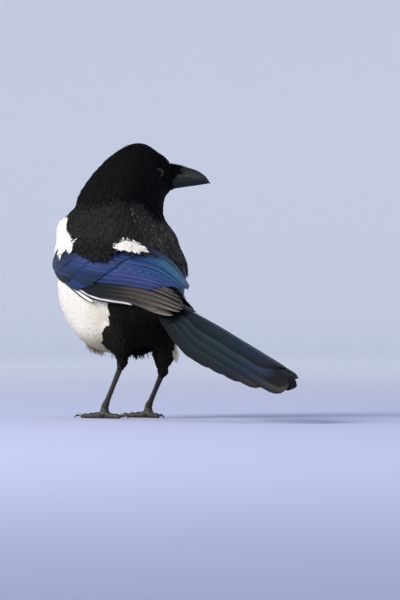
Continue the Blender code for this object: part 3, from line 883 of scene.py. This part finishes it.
def secondary_colour(number, count):
    inner = number / (count - 1)
    tone = 0.15 * CHANCE.uniform(-1, 1)

    def colour(part, f):
        return shade(coated(
            COBALT, (ROYAL, 0.5 + 0.5 * tone),
            (VIOLET, 0.5 * ease(0.5, 0.2, inner) * ease(0.3, 0.6, part)),
            # The teal and cyan coats are painted sheen and glint on the inner secondaries.
            (TEAL_SHEEN, 0.65 * inner * inner * ease(0.45, 0.85, part)),
            (SEA, 0.7 * ease(0.5, 0.0, inner) * ease(0.5, 0.0, part)),
            (INK, (0.75 - 0.35 * inner) * (f > 0.02)),
            (CYAN_GLINT, (0.08 + 0.5 * inner * inner * ease(0.5, 0.9, part)) * (f < -0.8)),
            (INK, 0.6 * (f == 0)),
        ), tone)

    return colour


def covert_colour(number, count):
    inner = number / max(1, count - 1)
    tone = 0.2 * CHANCE.uniform(-1, 1)

    def colour(part, f):
        return shade(coated(
            COBALT, (ROYAL, 0.4 + tone), (SEA, 0.75 * ease(0.45, 0.0, inner) * ease(0.3, 0.9, part)),
            (INK, 0.5 * (f > 0.6 or f == 0)), (INK, 0.45 * ease(0.5, 0.0, part)),
        ), tone)

    return colour


def darkened(colour, share):
    return lambda part, f: mix(colour(part, f), INK, 0.85 * share)


def lesser_colour(number, count):
    tone = 0.25 * CHANCE.uniform(-1, 1)
    return lambda part, f: shade(coated(COBALT, (INK, 0.55), (COBALT, part * 0.7)), tone)


def black_colour(number, count):
    tone = 0.2 * CHANCE.uniform(-1, 1)
    return lambda part, f: shade(mix(TAIL_END, SLATE, 0.1 + 0.2 * part), tone - 0.3)


# Groups of wing feathers, lowest first. Each row has the number of vanes, for the first and
# the last the root along and across and the tip along and across, the outer and inner width
# in mm, the height of the tier, its tilt, its outline and its colours.
WING_GROUPS = (
    ("primaries", 10, (0.10, 0.05, 0.70, -0.07), (0.18, 0.38, 0.88, 0.26),
     2.6, 5.0, 0.2, 2.0, FLIGHT, primary_colour),
    ("secondaries", 11, (0.14, 0.36, 0.80, 0.26), (0.36, 0.88, 0.98, 0.95),
     4.0, 7.5, 1.3, 1.6, FLIGHT, secondary_colour),
    ("primary_coverts", 7, (0.08, 0.06, 0.30, 0.03), (0.14, 0.30, 0.42, 0.20),
     3.2, 4.5, 2.3, 1.0, COVERT, covert_colour),
    ("alula", 3, (0.0, 0.08, 0.20, 0.03), (0.02, 0.18, 0.24, 0.12),
     3.4, 4.2, 3.2, 0.6, COVERT, black_colour),
    ("greater_coverts", 14, (0.06, 0.22, 0.42, 0.20), (0.28, 0.88, 0.66, 0.86),
     3.4, 5.5, 2.7, 1.0, COVERT, covert_colour),
    ("median_coverts", 14, (0.02, 0.18, 0.26, 0.20), (0.20, 0.84, 0.46, 0.84),
     3.4, 4.8, 3.3, 0.9, COVERT, covert_colour),
    ("lesser_coverts", 13, (-0.01, 0.14, 0.15, 0.19), (0.13, 0.80, 0.32, 0.78),
     3.2, 4.4, 3.8, 0.8, COVERT, lesser_colour),
    ("shoulder_coverts", 12, (-0.03, 0.12, 0.07, 0.16), (0.07, 0.78, 0.2, 0.74),
     3.0, 4.0, 4.2, 0.7, COVERT, lesser_colour),
)
# Where each primary ends, from the short outermost one inwards: along, across.
PRIMARY_TIPS = (
    (0.42, -0.08), (0.62, -0.07), (0.84, -0.04), (0.93, -0.1), (0.98, 0.0),
    (1.0, 0.08), (1.0, 0.16), (0.98, 0.25), (0.95, 0.32), (0.91, 0.36),
)
# The two pale outer primaries start further on: along, across.
PRIMARY_ROOTS = ((0.1, 0.03), (0.22, 0.05))
# How far above the body every vane of a wing starts, in mm.
ROOT_LIFT = 0.4


def make_wing(side, bank, cells):
    """The flight feathers and coverts of one folded wing, tier upon tier."""
    for name, count, first, last, outer, inner, tier, tilt, outline, paint in WING_GROUPS:
        for number in range(count):
            row = [low + (high - low) * number / (count - 1) for low, high in zip(first, last)]
            slim = name == "primaries" and number < 2
            if name == "primaries":
                row[2:] = PRIMARY_TIPS[number]
                if number < len(PRIMARY_ROOTS):
                    row[:2] = PRIMARY_ROOTS[number]
            if name == "secondaries":
                row[2] += 0.06 * math.sin(math.pi * number / (count - 1))
            jitter = [CHANCE.uniform(-1, 1) for _ in range(3)]
            row[2] += 0.008 * jitter[0]
            row[3] += 0.006 * jitter[1]

            def surface(part, side_mm, height):
                along = row[0] + (row[2] - row[0]) * part
                across = row[1] + (row[3] - row[1]) * part
                scale = 1 / wing_width(side, along)
                risen = ease(0, 0.16, part)
                level = tier + tilt * (inner - side_mm) / (outer + inner) + 0.15 * jitter[2]
                level = ROOT_LIFT + (level - ROOT_LIFT) * risen * (0.3 + 0.7 * ease(-0.04, 0.2, along))
                sink = ease(0.75, 0.45, along) if side == "left" else 1
                level *= 1 - 0.7 * ease(0.6, 0.95, across) * sink
                return wing_point(side, along, across + side_mm * scale, level + height * risen)

            length = (surface(1, 0, 0) - surface(0, 0, 0)).length
            colour = paint(number, count)
            if side == "right":
                colour = darkened(colour, ease(0.45, 0.75, row[1]))
            grow_vane(bank, surface, colour, SLIVER if slim else outline, outer * (0.75 if slim else 1),
                      inner * (0.6 if slim else 1), cells.take(), count=14 if outline is FLIGHT else 9,
                      thick=0.16, shaft=0.2, length_mm=length)
    bank.write()


# The tail

# The middle pair first: left and right length, outer edge and inner edge from the middle
# line, and tier. The right one of the middle pair lies on top and is worn short.
TAIL_FEATHERS = (
    (199, 169, 14.5, -4, 0.3), (196, 179, 19.5, 1.5, -0.6), (171, 160, 23, 4, -1.5),
    (149, 146, 24.5, 6, -2.4), (127, 125, 25, 8, -3.3), (106, 104, 25.5, 10, -4.2),
)
TAIL_COVERTS = 9
SLATE = tint("#19232b")
GLOSS_GREEN = tint("#132f32")
GLOSS_BLUE = tint("#18253e")
GLOSS_PURPLE = tint("#1f1c2e")
WORN = tint("#3b3936")
TAIL_END = tint("#0b0b0d")


def tail_point(side, along, lift=0.0):
    """A point of the tail: mm to the left of its middle, mm from its root, mm above it."""
    droop = TAIL_ARCH["left" if side > 0 else "right"] * (math.hypot(side, 6) - 6)
    across = Vector((math.cos(TAIL_ROLL), 0, -math.sin(TAIL_ROLL)))
    down = Vector((0, math.cos(TAIL_SLOPE), -math.sin(TAIL_SLOPE)))
    return TAIL_ROOT + across * side + down * along + across.cross(down) * (lift - droop)


def tail_colour(number, left):
    tone = 0.15 * CHANCE.uniform(-1, 1)
    worn = 0.6 * (number in (1, 2) and left)
    end = 0.8 if number == (0 if left else 1) else 0.9

    def colour(part, f):
        return shade(coated(
            SLATE, (GLOSS_GREEN, 0.45 * ease(0.1, 0.5, part)), (GLOSS_BLUE, 0.7 * ease(0.45, 0.75, part)),
            (GLOSS_PURPLE, 0.6 * ease(0.74, 0.88, part)), (TAIL_END, 0.9 * ease(end, end + 0.08, part)),
            (WORN, worn * ease(0.75, 0.95, part)), (TAIL_END, 0.35 * (f > 0.02)),
            # The last coat is painted shadow: dark rims stand for the shadow gaps between the folded tail
            # feathers.
            (TAIL_END, 0.55 * (f == 0)), (TAIL_END, 0.8 * (abs(f) > 0.8)),
        ), tone)

    return colour


def make_tail(bank, cells):
    """Twelve graduated tail feathers and the coverts over their root."""
    for number, (left_length, right_length, outer, inner, tier) in reversed(list(enumerate(TAIL_FEATHERS))):
        for sign in (1, -1):
            length = left_length if sign > 0 else right_length
            lift = tier
            if number == 0 and sign < 0:
                lift, inner = tier + 0.7, -9
            curl = -6 if number == (0 if sign > 0 else 1) else 0

            def surface(part, side_mm, height):
                along = 2 + (length - 2) * part
                spread = min(1, 0.6 + 0.4 * max(0, along) / 60)
                middle = (outer + inner) / 2 * min(1, 0.55 + 0.45 * max(0, along) / 70)
                level = -1.6 + (lift + 1.6) * ease(0, 0.12, part)
                level += height * ease(0, 0.12, part)
                level += curl * ease(0.93, 1, part) * (0.6 + 0.4 * side_mm / 9)
                return tail_point(sign * (middle - side_mm * spread), along, level)

            half = (outer - inner) / 2
            grow_vane(bank, surface, tail_colour(number, sign > 0), ROUND, half, half, cells.take(),
                      count=34, thick=0.3, shaft=0.45, split=0.04, length_mm=length)
    most = TAIL_COVERTS // 2
    for number in range(TAIL_COVERTS):
        middle = (number - most) * 2.6
        lift = 1.0 + 0.3 * (most - abs(number - most))
        length = 36 - 2 * abs(number - most)

        def surface(part, side_mm, height):
            along = -10 + (length + 10) * part
            level = -1.0 + (lift + 1.0) * ease(0, 0.2, part) - 0.5 * ease(0.6, 1, part)
            return tail_point(middle * (0.7 + 0.5 * part) + side_mm, along, level + height)

        grow_vane(bank, surface, black_colour(number, TAIL_COVERTS), COVERT, 5.5, 5.5, cells.take(),
                  count=9, length_mm=length)
    bank.write()


# Body feathers


class Ground:
    """The skin with the wings' and tail's outer faces, on which body feathers lie."""

    def __init__(self, skin, solids):
        mesh = skin.data
        points = [vertex.co.copy() for vertex in mesh.vertices]
        faces = faces_of(mesh)
        self.skin_tree = BVHTree.FromPolygons(points, faces)
        cover_points, cover_faces = [], []
        rows, columns = 25, 13
        for side in ("left", "right"):
            start = len(cover_points)
            for row in range(rows):
                for column in range(columns):
                    along, across = row / (rows - 1), column / (columns - 1) * 0.96 + 0.02
                    lift = (6.0 - 3.2 * ease(0.25, 0.8, along)) * (1 if side == "left" else 0.6)
                    edge = min(1, 12 * across, 4.5 * (1 - across)) * (0.15 + 0.85 * ease(0, 0.22, along))
                    cover_points.append(wing_point(side, along, across, lift * edge))
            cover_faces += grid_faces(rows, columns, start)
        self.cover_tree = BVHTree.FromPolygons(cover_points, cover_faces)
        for more_points, more_faces in [(cover_points, cover_faces)] + [shape_of(item) for item in solids]:
            shift = len(points)
            points = points + more_points
            faces = faces + [tuple(shift + index for index in face) for face in more_faces]
        self.tree = BVHTree.FromPolygons(points, faces)

        layer = mesh.uv_layers["OFBake"].data
        self.face_spots = [tuple(layer[polygon.loop_start].uv) for polygon in mesh.polygons]

    def on_skin(self, point):
        """The nearest place on the skin, its normal and its place on the baking map."""
        place, normal, index, _ = self.skin_tree.find_nearest(point)
        return place, normal, self.face_spots[index]

    def covered(self, point, normal):
        return self.cover_tree.ray_cast(point + normal * 0.2, normal, 16)[0] is not None

    def land(self, point, normal, reach):
        """The outermost surface under a point, looking in along the normal."""
        place, facing, _, _ = self.tree.ray_cast(point + normal * reach, -normal, reach * 2.2)
        if place is None:
            place, facing, _, _ = self.tree.find_nearest(point)
        if facing.dot(normal) < 0:
            facing = -facing
        return place, facing


# Points are sorted into cubes of this size, and near ones are sought in the 27 cubes around.
CELL_MM = 4
AROUND = list(itertools.product((-1, 0, 1), repeat=3))


def scatter(skin, spacing):
    """Points spread over the skin at a spacing in mm that changes with place."""
    mesh = skin.data
    layer = mesh.uv_layers["OFBake"].data
    points = [vertex.co for vertex in mesh.vertices]
    normals = [vertex.normal.copy() for vertex in mesh.vertices]
    cells, chosen = {}, []
    order = list(range(len(mesh.polygons)))
    CHANCE.shuffle(order)
    for index in order:
        polygon = mesh.polygons[index]
        gap = spacing(polygon.center)
        if gap is None:
            continue
        tries = max(1, math.ceil(polygon.area / (gap * gap) * 2.2))
        a, b, c = polygon.vertices
        for _ in range(tries):
            u, v = CHANCE.random(), CHANCE.random()
            if u + v > 1:
                u, v = 1 - u, 1 - v
            w = 1 - u - v
            point = points[a] * w + points[b] * u + points[c] * v
            key = tuple(int(value // CELL_MM) for value in point)
            if any(
                (other - point).length_squared < gap * gap
                for dx, dy, dz in AROUND
                for other in cells.get((key[0] + dx, key[1] + dy, key[2] + dz), ())
            ):
                continue
            cells.setdefault(key, []).append(point)
            start = polygon.loop_start
            spot = layer[start].uv * w + layer[start + 1].uv * u + layer[start + 2].uv * v
            normal = (normals[a] * w + normals[b] * u + normals[c] * v).normalized()
            chosen.append((point, normal, (spot.x, spot.y)))
    return chosen


# A tuft's width at its first three rows, as a share, and its half size on the baking map.
TUFT_WIDTHS = (0.45, 1.0, 0.85)
SPOT_SIZE = 0.0015


def lay_tuft(bank, ground, point, normal, flow, length, width, rise, colour, spot, tips=3, reach=10,
             painted_root_shade=0.3, fringe=None, free=False, frayed=0.3):
    """A thin feather that starts in the skin, follows the surface and ends in frayed points; it is painted
    darker towards the root, as painted shade where it goes in under other feathers, and a little lighter at
    its points.
    """
    rows = (0.0, 0.4, 1 - frayed)
    at, facing, course = point - normal * 0.3, normal, flow
    places = [(at, facing)]
    for before, row in zip(rows, (*rows[1:], 1)):
        at = at + course * (length * (row - before))
        if free:
            course = (course - UP * 0.06 + facing * CHANCE.uniform(-0.05, 0.05)).normalized()
            places.append((at, facing))
        else:
            at, face = ground.land(at, facing, reach)
            facing = (facing + face).normalized()
            course = (course - facing * course.dot(facing)).normalized()
            places.append((at + facing * (rise * (0.75 if row == 0.4 else 1.0)), facing))
    points, paint, bake = [], [], []
    count = tips + 1
    for (place, face), row, wide in zip(places, rows, TUFT_WIDTHS):
        side = course.cross(face).normalized()
        for column in range(count):
            f = 2 * column / tips - 1
            sag = -(0.18 if painted_root_shade > 0.1 else 0.07) * width * f * f
            points.append(place + side * (f * width * wide / 2) + face * sag)
            # Painted shade: rows nearer the root are darker, where the feather goes in under the ones lying
            # over it.
            paint.append(shade(colour, painted_root_shade * (row - 1)))
            bake.append((spot[0] + SPOT_SIZE * f, spot[1] + SPOT_SIZE * (row * 2 - 1)))
    place, face = places[3]
    side = course.cross(face).normalized()
    for column in range(tips):
        f = (2 * column + 1) / tips - 1
        back = CHANCE.uniform(0, 0.3) + 0.12 * abs(f)
        aside = f * width * 0.5 + CHANCE.uniform(-0.1, 0.1) * width
        end = place - course * (length * frayed * back) + side * aside
        points.append(end + face * CHANCE.uniform(-0.1, 0.25) * frayed * 3.5)
        paint.append(fringe or shade(colour, 0.4 * painted_root_shade))
        bake.append((spot[0] + SPOT_SIZE * f, spot[1] + SPOT_SIZE))
    faces = grid_faces(3, count)
    faces += [(a, a + 1, a + count) for a in range(2 * count, 2 * count + tips)]
    bank.add(points, faces, paint, bake)


def twisted(flow, normal, spread):
    """A direction turned by chance about the normal, by about so many radians."""
    return Matrix.Rotation(CHANCE.gauss(0, spread), 3, normal) @ flow


def on_head(point):
    return ease(188, 204, point.z) * ease(-46, -10, ahead_of_head(point))


def on_thigh(point):
    return ease(70, 58, point.z) * ease(8, 20, point.y)


def body_spacing(point):
    """The gap between feathers in mm, or None behind the bill's base."""
    if (point - head_point(24, 0, -2)).length < 6:
        return None
    head = on_head(point)
    gap = 1.5 - 0.58 * head - 0.25 * on_thigh(point)
    return gap - 0.2 * ease(0, 20, ahead_of_head(point)) if head > 0.5 else gap


def wing_flow(side, along, across):
    """The direction from wrist to tip on a folded wing, and the way out from it."""
    here, there = wing_point(side, along, across), wing_point(side, along + 0.04, across)
    below = wing_point(side, along, across - 0.05)
    run, down = (there - here).normalized(), (below - here).normalized()
    outward = run.cross(down).normalized()
    if outward.dot(here - Vector((0, -8, here.z))) < 0:
        outward = -outward
    return run, down, outward


# How many places along and across each wing are tried for a feather that hangs over it, and
# how many feathers are tried for the white patches and laid as bristles.
MANTLE_ROWS, MANTLE_COLUMNS = 84, 50
PATCH_FEATHERS, BILL_BRISTLES, CORNER_BRISTLES = 700, 340, 50


def cover_wings(ground, banks):
    """Scapulars and mantle feathers that lie over the upper part of each wing."""
    for side in ("left", "right"):
        for row in range(MANTLE_ROWS):
            for column in range(MANTLE_COLUMNS):
                along = -0.08 + (row + CHANCE.random()) / MANTLE_ROWS
                across = 0.36 + 0.84 * (column + CHANCE.random()) / MANTLE_COLUMNS
                run, down, outward = wing_flow(side, along, min(across, 1))
                back, fall = 0.35 + 0.5 * ease(0.25, 0.5, along), 0.95 - 0.6 * ease(0.3, 0.55, along)
                flow = (run * back + down * fall).normalized()
                length = CHANCE.uniform(8, 12) * (0.6 + 0.4 * ease(0.1, 0.22, along))
                point = wing_point(side, along, across, 2)
                ending = point + flow * (length * 0.85)
                zone = wing_zone(*wing_place(ending), ending)
                if zone is None or wing_zone(side, along, across, point) is None:
                    continue
                point, normal = ground.land(point, outward, 12)
                white = zone == "white"
                flow = twisted(flow, normal, 0.14)
                spot = ground.on_skin(point)[2]
                colour = WHITE if white else mix(MANTLE, BLACK, 0.2 + 0.5 * CHANCE.random())
                thick = 2.0 * ease(0.4, 0.75, across) * ease(1.2, 0.9, across)
                thick = thick * (1 if side == "left" else 0.35) * (0.3 + 0.7 * ease(0, 0.2, along))
                root = point + normal * (thick * CHANCE.uniform(0.2, 1))
                colour = shade(colour, CHANCE.uniform(-0.12, 0.12) * (0.2 if white else 1))
                lay_tuft(banks[white], ground, root, normal, flow, length, 2.6,
                         thick * CHANCE.uniform(0.6, 1.1), colour, spot, reach=9,
                         painted_root_shade=0.05 if white else 0.3, frayed=0.14 if white else 0.25)


def lay_patch(ground, bank):
    """The rear white scapulars, which show as a patch over the upper edge of each wing."""
    for number in range(PATCH_FEATHERS):
        side = "left" if number % 2 else "right"
        along, across = CHANCE.uniform(0.44, 0.6), CHANCE.uniform(0.84, 1.08)
        if across > 1.16 - 0.9 * (along - 0.44) or across < 0.8 + 0.5 * (along - 0.44):
            continue
        if side == "right":
            along, across = along - 0.15, across - 0.3
        run, down, outward = wing_flow(side, along, min(across, 1))
        point, normal = ground.land(wing_point(side, along, across, 2), outward, 12)
        flow = twisted((run * 0.8 + down * 0.45).normalized(), normal, 0.2)
        root = point + normal * CHANCE.uniform(1.6, 2.4)
        lay_tuft(bank, ground, root, normal, flow, CHANCE.uniform(7, 10), 2.6, CHANCE.uniform(2.0, 2.8),
                 WHITE, ground.on_skin(point)[2], tips=4, reach=9, painted_root_shade=0.05, frayed=0.35)


# Loose fringes: middle of the roots, their spread, the way they hang, length, number, and
# whether they are white.
FRINGES = (
    ((16, -20, 66), (7, 5, 3), (0.1, 0.1, -1), 7, 200, True),
    ((-22, 36, 64), (3, 6, 4), (-0.15, 0.4, -0.9), 15, 140, True),
    ((2, 16, 60), (17, 12, 2), (0, 0.25, -1), 8, 180, False),
    ((-4, 5, 233), (3, 4, 1), (0.75, -0.25, 0.12), 6, 40, False),
)


def lay_fringes(ground, banks):
    """Loose feather ends at the lower belly, the flanks and the crown."""
    for middle, spread, hang, length, count, white in FRINGES:
        for _ in range(count):
            point = Vector([value + size * CHANCE.uniform(-1, 1) for value, size in zip(middle, spread)])
            point, normal, spot = ground.on_skin(point)
            flow = (Vector(hang) + Vector([CHANCE.gauss(0, 0.12) for _ in range(3)])).normalized()
            # Painted shade: low white fringes are mixed towards cream.
            colour = mix(WHITE, SHADE_CREAM, 0.6 * ease(90, 58, point.z)) if white else BLACK
            lay_tuft(banks[white], ground, point, normal, flow, length * CHANCE.uniform(0.4, 1.1), 0.9, 0,
                     colour, spot, tips=2, painted_root_shade=0.1, free=True)


def lay_bristles(ground, bank):
    """Stiff bristles forward over the base of the bill, and short ones at the mouth's corners."""
    for _ in range(BILL_BRISTLES):
        turn = CHANCE.uniform(-1, 1)
        top = abs(turn) < 0.45
        point = head_point(CHANCE.uniform(16, 22), 7.2 * turn, 8.2 - 8.5 * turn * turn)
        point, normal, spot = ground.on_skin(point)
        flow = FORWARD + LEFT * (0.05 * turn) - UP * (CHANCE.uniform(0.05, 0.16) if top else 0.35)
        length = CHANCE.uniform(10, 22) * (1 - 0.6 * abs(turn))
        lay_tuft(bank, ground, point, normal, flow.normalized(), length, 0.8, 0.6, BLACK, spot,
                 tips=1, reach=4, free=top)
    for number in range(CORNER_BRISTLES):
        sign = 1 if number % 2 else -1
        point = head_point(CHANCE.uniform(17, 20), 9 * sign, CHANCE.uniform(-6, -1))
        point, normal, spot = ground.on_skin(point)
        flow = FORWARD + LEFT * (0.15 * sign) - UP * CHANCE.uniform(0.1, 0.6)
        lay_tuft(bank, ground, point, normal, flow.normalized(), CHANCE.uniform(4, 8), 0.35, 0.3, BLACK,
                 spot, tips=1, free=True)


def make_coat(skin, banks, solids):
    """All feathers of head and body, in a black bank and a white one."""
    ground = Ground(skin, solids)
    cover_wings(ground, banks)
    lay_patch(ground, banks[True])
    lay_fringes(ground, banks)
    lay_bristles(ground, banks[False])
    for point, normal, spot in scatter(skin, body_spacing):
        if ground.covered(point, normal):
            continue
        head, thigh = on_head(point), on_thigh(point)
        face = head * ease(-2, 16, ahead_of_head(point))
        mantle = ease(184, 176, point.z) * ease(112, 126, point.z) * ease(-0.3, 0.2, normal.y)
        length = (12 - 6.5 * head - 2.2 * face + 4 * mantle - 4 * thigh) * CHANCE.uniform(0.85, 1.15)
        flow = twisted(lie(point, normal), normal, 0.12)
        if head > 0.3:
            if from_eye(point) < BARE_ROUND_EYE:
                continue
            while length > 1.4 and min(
                from_eye(point + flow * (length * part)) for part in (0.5, 1)
            ) < BARE_ROUND_EYE - 0.4:
                length *= 0.7
        colour, white = body_mark(point + flow * (length * 0.5), normal)
        width = 3.4 - 2.15 * head - 0.4 * face - 1.1 * thigh
        rise = 0.6 if white else 2.1 - 1.3 * head - 1.2 * thigh
        if white:
            length, width = length + 3, width + 0.4
        colour = shade(colour, CHANCE.uniform(-0.16, 0.16) * (0.15 if white else 1))
        fringe = None
        crease = nape_height(point)
        crease = ease(-16, -6, crease) * ease(5, -2, crease) * ease(0, 12, to_the_right(point.x, point.y))
        pale_edge = 0.5 * max(crease, mantle * ease(10, 50, point.y - 1.4 * point.x))
        if not white and CHANCE.random() < pale_edge:
            fringe = mix(colour, FLECK, CHANCE.uniform(0.15, 0.8))
        rise *= CHANCE.uniform(0.94, 1.04) if white else CHANCE.uniform(0.7, 1.1)
        lay_tuft(banks[white], ground, point, normal, flow, length, width, max(0.25, rise), colour, spot,
                 reach=10 - 6 * head, painted_root_shade=0.03 if white else 0.3, fringe=fringe,
                 frayed=0.13 if white else 0.28)
    for bank in banks:
        bank.write()


# Put it together

# Black plumage: soft and almost without shine, so that it stays deep black in full light.
plumage = finish("plumage", None, 0.7, 0.06)
# White plumage: light goes a little way in, which makes the belly and shoulder look downy.
white_plumage = finish(
    "white plumage", None, 0.9, 0.05, Sheen_Weight=0.3, Subsurface_Weight=0.4,
    Subsurface_Radius=(1.0, 0.95, 0.9), Subsurface_Scale=0.003,
)
# Wing and tail feathers: a firmer vane with a slight gloss that its barbs break up.
wing_vanes = finish("blue wing feathers", None, 0.45, 0.18, Metallic=0.1)
tail_vanes = finish("glossy tail feathers", None, 0.5, 0.07)
# Bill and claws: hard dark horn, with a narrow highlight.
horn = finish("bill horn", "#12181a", 0.36, 0.25)
claw_horn = finish("claw horn", "#141312", 0.25, 0.5)
# Bare skin: dry and scaly on the legs, matt round the eye.
leg_skin = finish("scaly leg skin", None, 0.55, 0.4)
lid_skin = finish("eyelid skin", "#2e3131", 0.6, 0.25)
# The eye: nearly black and wet, with one sharp glint.
eyeball = finish("wet eye", "#050403", 0.1, 0.07)
add_bumps(horn, 1.2, 0.05, 0.4)
add_bumps(leg_skin, 0.6, 0.08, 0.6)
add_bumps(lid_skin, 0.4, 0.06, 0.6)
add_barbs(wing_vanes, 0.5, 0.25)
add_barbs(tail_vanes, 0.55, 0.22)

skin = make_skin()
coat_banks = (
    Bank("black_coat", plumage, "black_plumage"), Bank("white_coat", white_plumage, "white_plumage")
)
wing_bank = Bank("wing_feathers", wing_vanes, "wing_feathers")
tail_bank = Bank("tail_feathers", tail_vanes, "tail_feathers")
bill = make_bill(horn)
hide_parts("bill_upper")
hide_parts("bill_lower")
make_eyes(eyeball)
make_lids(lid_skin)
legs = [make_leg(side, sign, leg_skin) for side, sign in (("left", 1), ("right", -1))]
make_coat(skin, coat_banks, bill + legs)
for side in ("left", "right"):
    make_wing(side, wing_bank, Cells(12, 8))
make_tail(tail_bank, Cells(7, 3))

# The skin is painted like the plumage over it, but darker: painted shade, so that gaps look like depth.
shaded_skin_colours = []
for vertex in skin.data.vertices:
    colour, white = body_mark(vertex.co, vertex.normal)
    shaded_skin_colours.append(shade(colour, -0.12 if white else -0.45))
paint_points(skin.data, shaded_skin_colours)
skin.data.materials.append(plumage)
for vertex in skin.data.vertices:
    vertex.co = (vertex.co + SHIFT) * MM
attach(skin, "root")
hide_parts("head", "neck", "torso", "thigh_left", "thigh_right")
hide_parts("wing_left")
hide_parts("wing_right")
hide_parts("tail")

for name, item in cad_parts.items():
    if name.startswith("claw"):
        item.data.materials.clear()
        item.data.materials.append(claw_horn)
        item.data.shade_smooth()

# Stage, light and camera

# The level way to the camera, and the way to the right in its picture.
TOWARDS = Vector((math.sin(CAMERA_TURN), -math.cos(CAMERA_TURN), 0))
EYE_RIGHT = Vector((-TOWARDS.y, TOWARDS.x, 0))

# The floor runs up into a wall behind the bird: metres towards the camera and up.
profile = [(7 - 0.5 * step, 0.0) for step in range(26)]
for step in range(1, 13):
    turn = math.radians(90 * step / 12)
    profile.append((-5.5 - math.sin(turn), 1 - math.cos(turn)))
profile.append((-6.5, 5))
sweep = bmesh.new()
bmesh.ops.create_grid(sweep, x_segments=1, y_segments=len(profile) - 1, size=1)
for index, vertex in enumerate(sweep.verts):
    near, up = profile[index // 2]
    vertex.co = TOWARDS * near + UP * up + EYE_RIGHT * (8 if index % 2 else -8)
sweep = mesh_from("floor", sweep)
sweep.shade_smooth()
# Painted light and shade: the wall is painted lighter and the floor near the bird darker, to make up for
# the wall getting less light than the floor, so that the backdrop looks even.
shaded_floor_paint, lit_wall_paint = tint("#a3a8c3"), tint("#ebedf2")
paint_points(sweep, [
    mix(shaded_floor_paint, lit_wall_paint, ease(0.2, -3.8, vertex.co.dot(TOWARDS))) for vertex in sweep.vertices
])
# Matt painted board: pale and without any glint, so that only the bird draws the eye.
board = finish("pale floor", None, 0.9, 0.05)
floor = place_object("floor", sweep, board)

world = bpy.data.worlds.new("studio")
bpy.context.scene.world = world
world.use_nodes = True
sky = world.node_tree.nodes["Background"].inputs
sky["Color"].default_value = (*tint("#ccd3e6"), 1)
sky["Strength"].default_value = 1.0


# All lamps are turned to this point inside the bird.
LIT_POINT = Vector((0, 0, 0.12))


def lamp(name, right, up, near, size, power, colour="#ffffff"):
    """A soft panel lamp, placed as the camera sees it: metres right, up and towards it."""
    data = bpy.data.lights.new(name, "AREA")
    data.size = size
    data.energy = power
    data.color = tint(colour)
    item = place_object(name, data)
    item.location = EYE_RIGHT * right + UP * up + TOWARDS * near
    item.rotation_euler = (LIT_POINT - item.location).to_track_quat("-Z", "Y").to_euler()


lamp("key", -1.9, 1.5, 0.9, 1.2, 78, "#fff8ee")
lamp("fill", 1.4, 0.8, 1.2, 1.2, 8)
lamp("front fill", -1.3, 0.35, 1.5, 1.0, 9, "#fff6e6")

camera_data = bpy.data.cameras.new("camera")
camera = place_object("camera", camera_data)
middle = EYE_RIGHT * ((ACROSS_AT + SHIFT.dot(EYE_RIGHT)) * MM) + UP * (HEIGHT_AT * MM)
camera.location = middle + TOWARDS * CAMERA_FAR
camera.rotation_euler = (-TOWARDS).to_track_quat("-Z", "Y").to_euler()
camera_data.sensor_fit = "VERTICAL"
camera_data.sensor_height = FILM_HIGH
camera_data.lens = FILM_HIGH * CAMERA_FAR / PICTURE_HIGH
camera_data.clip_end = 60
bpy.context.scene.camera = camera
bpy.context.scene.view_settings.view_transform = "Standard"
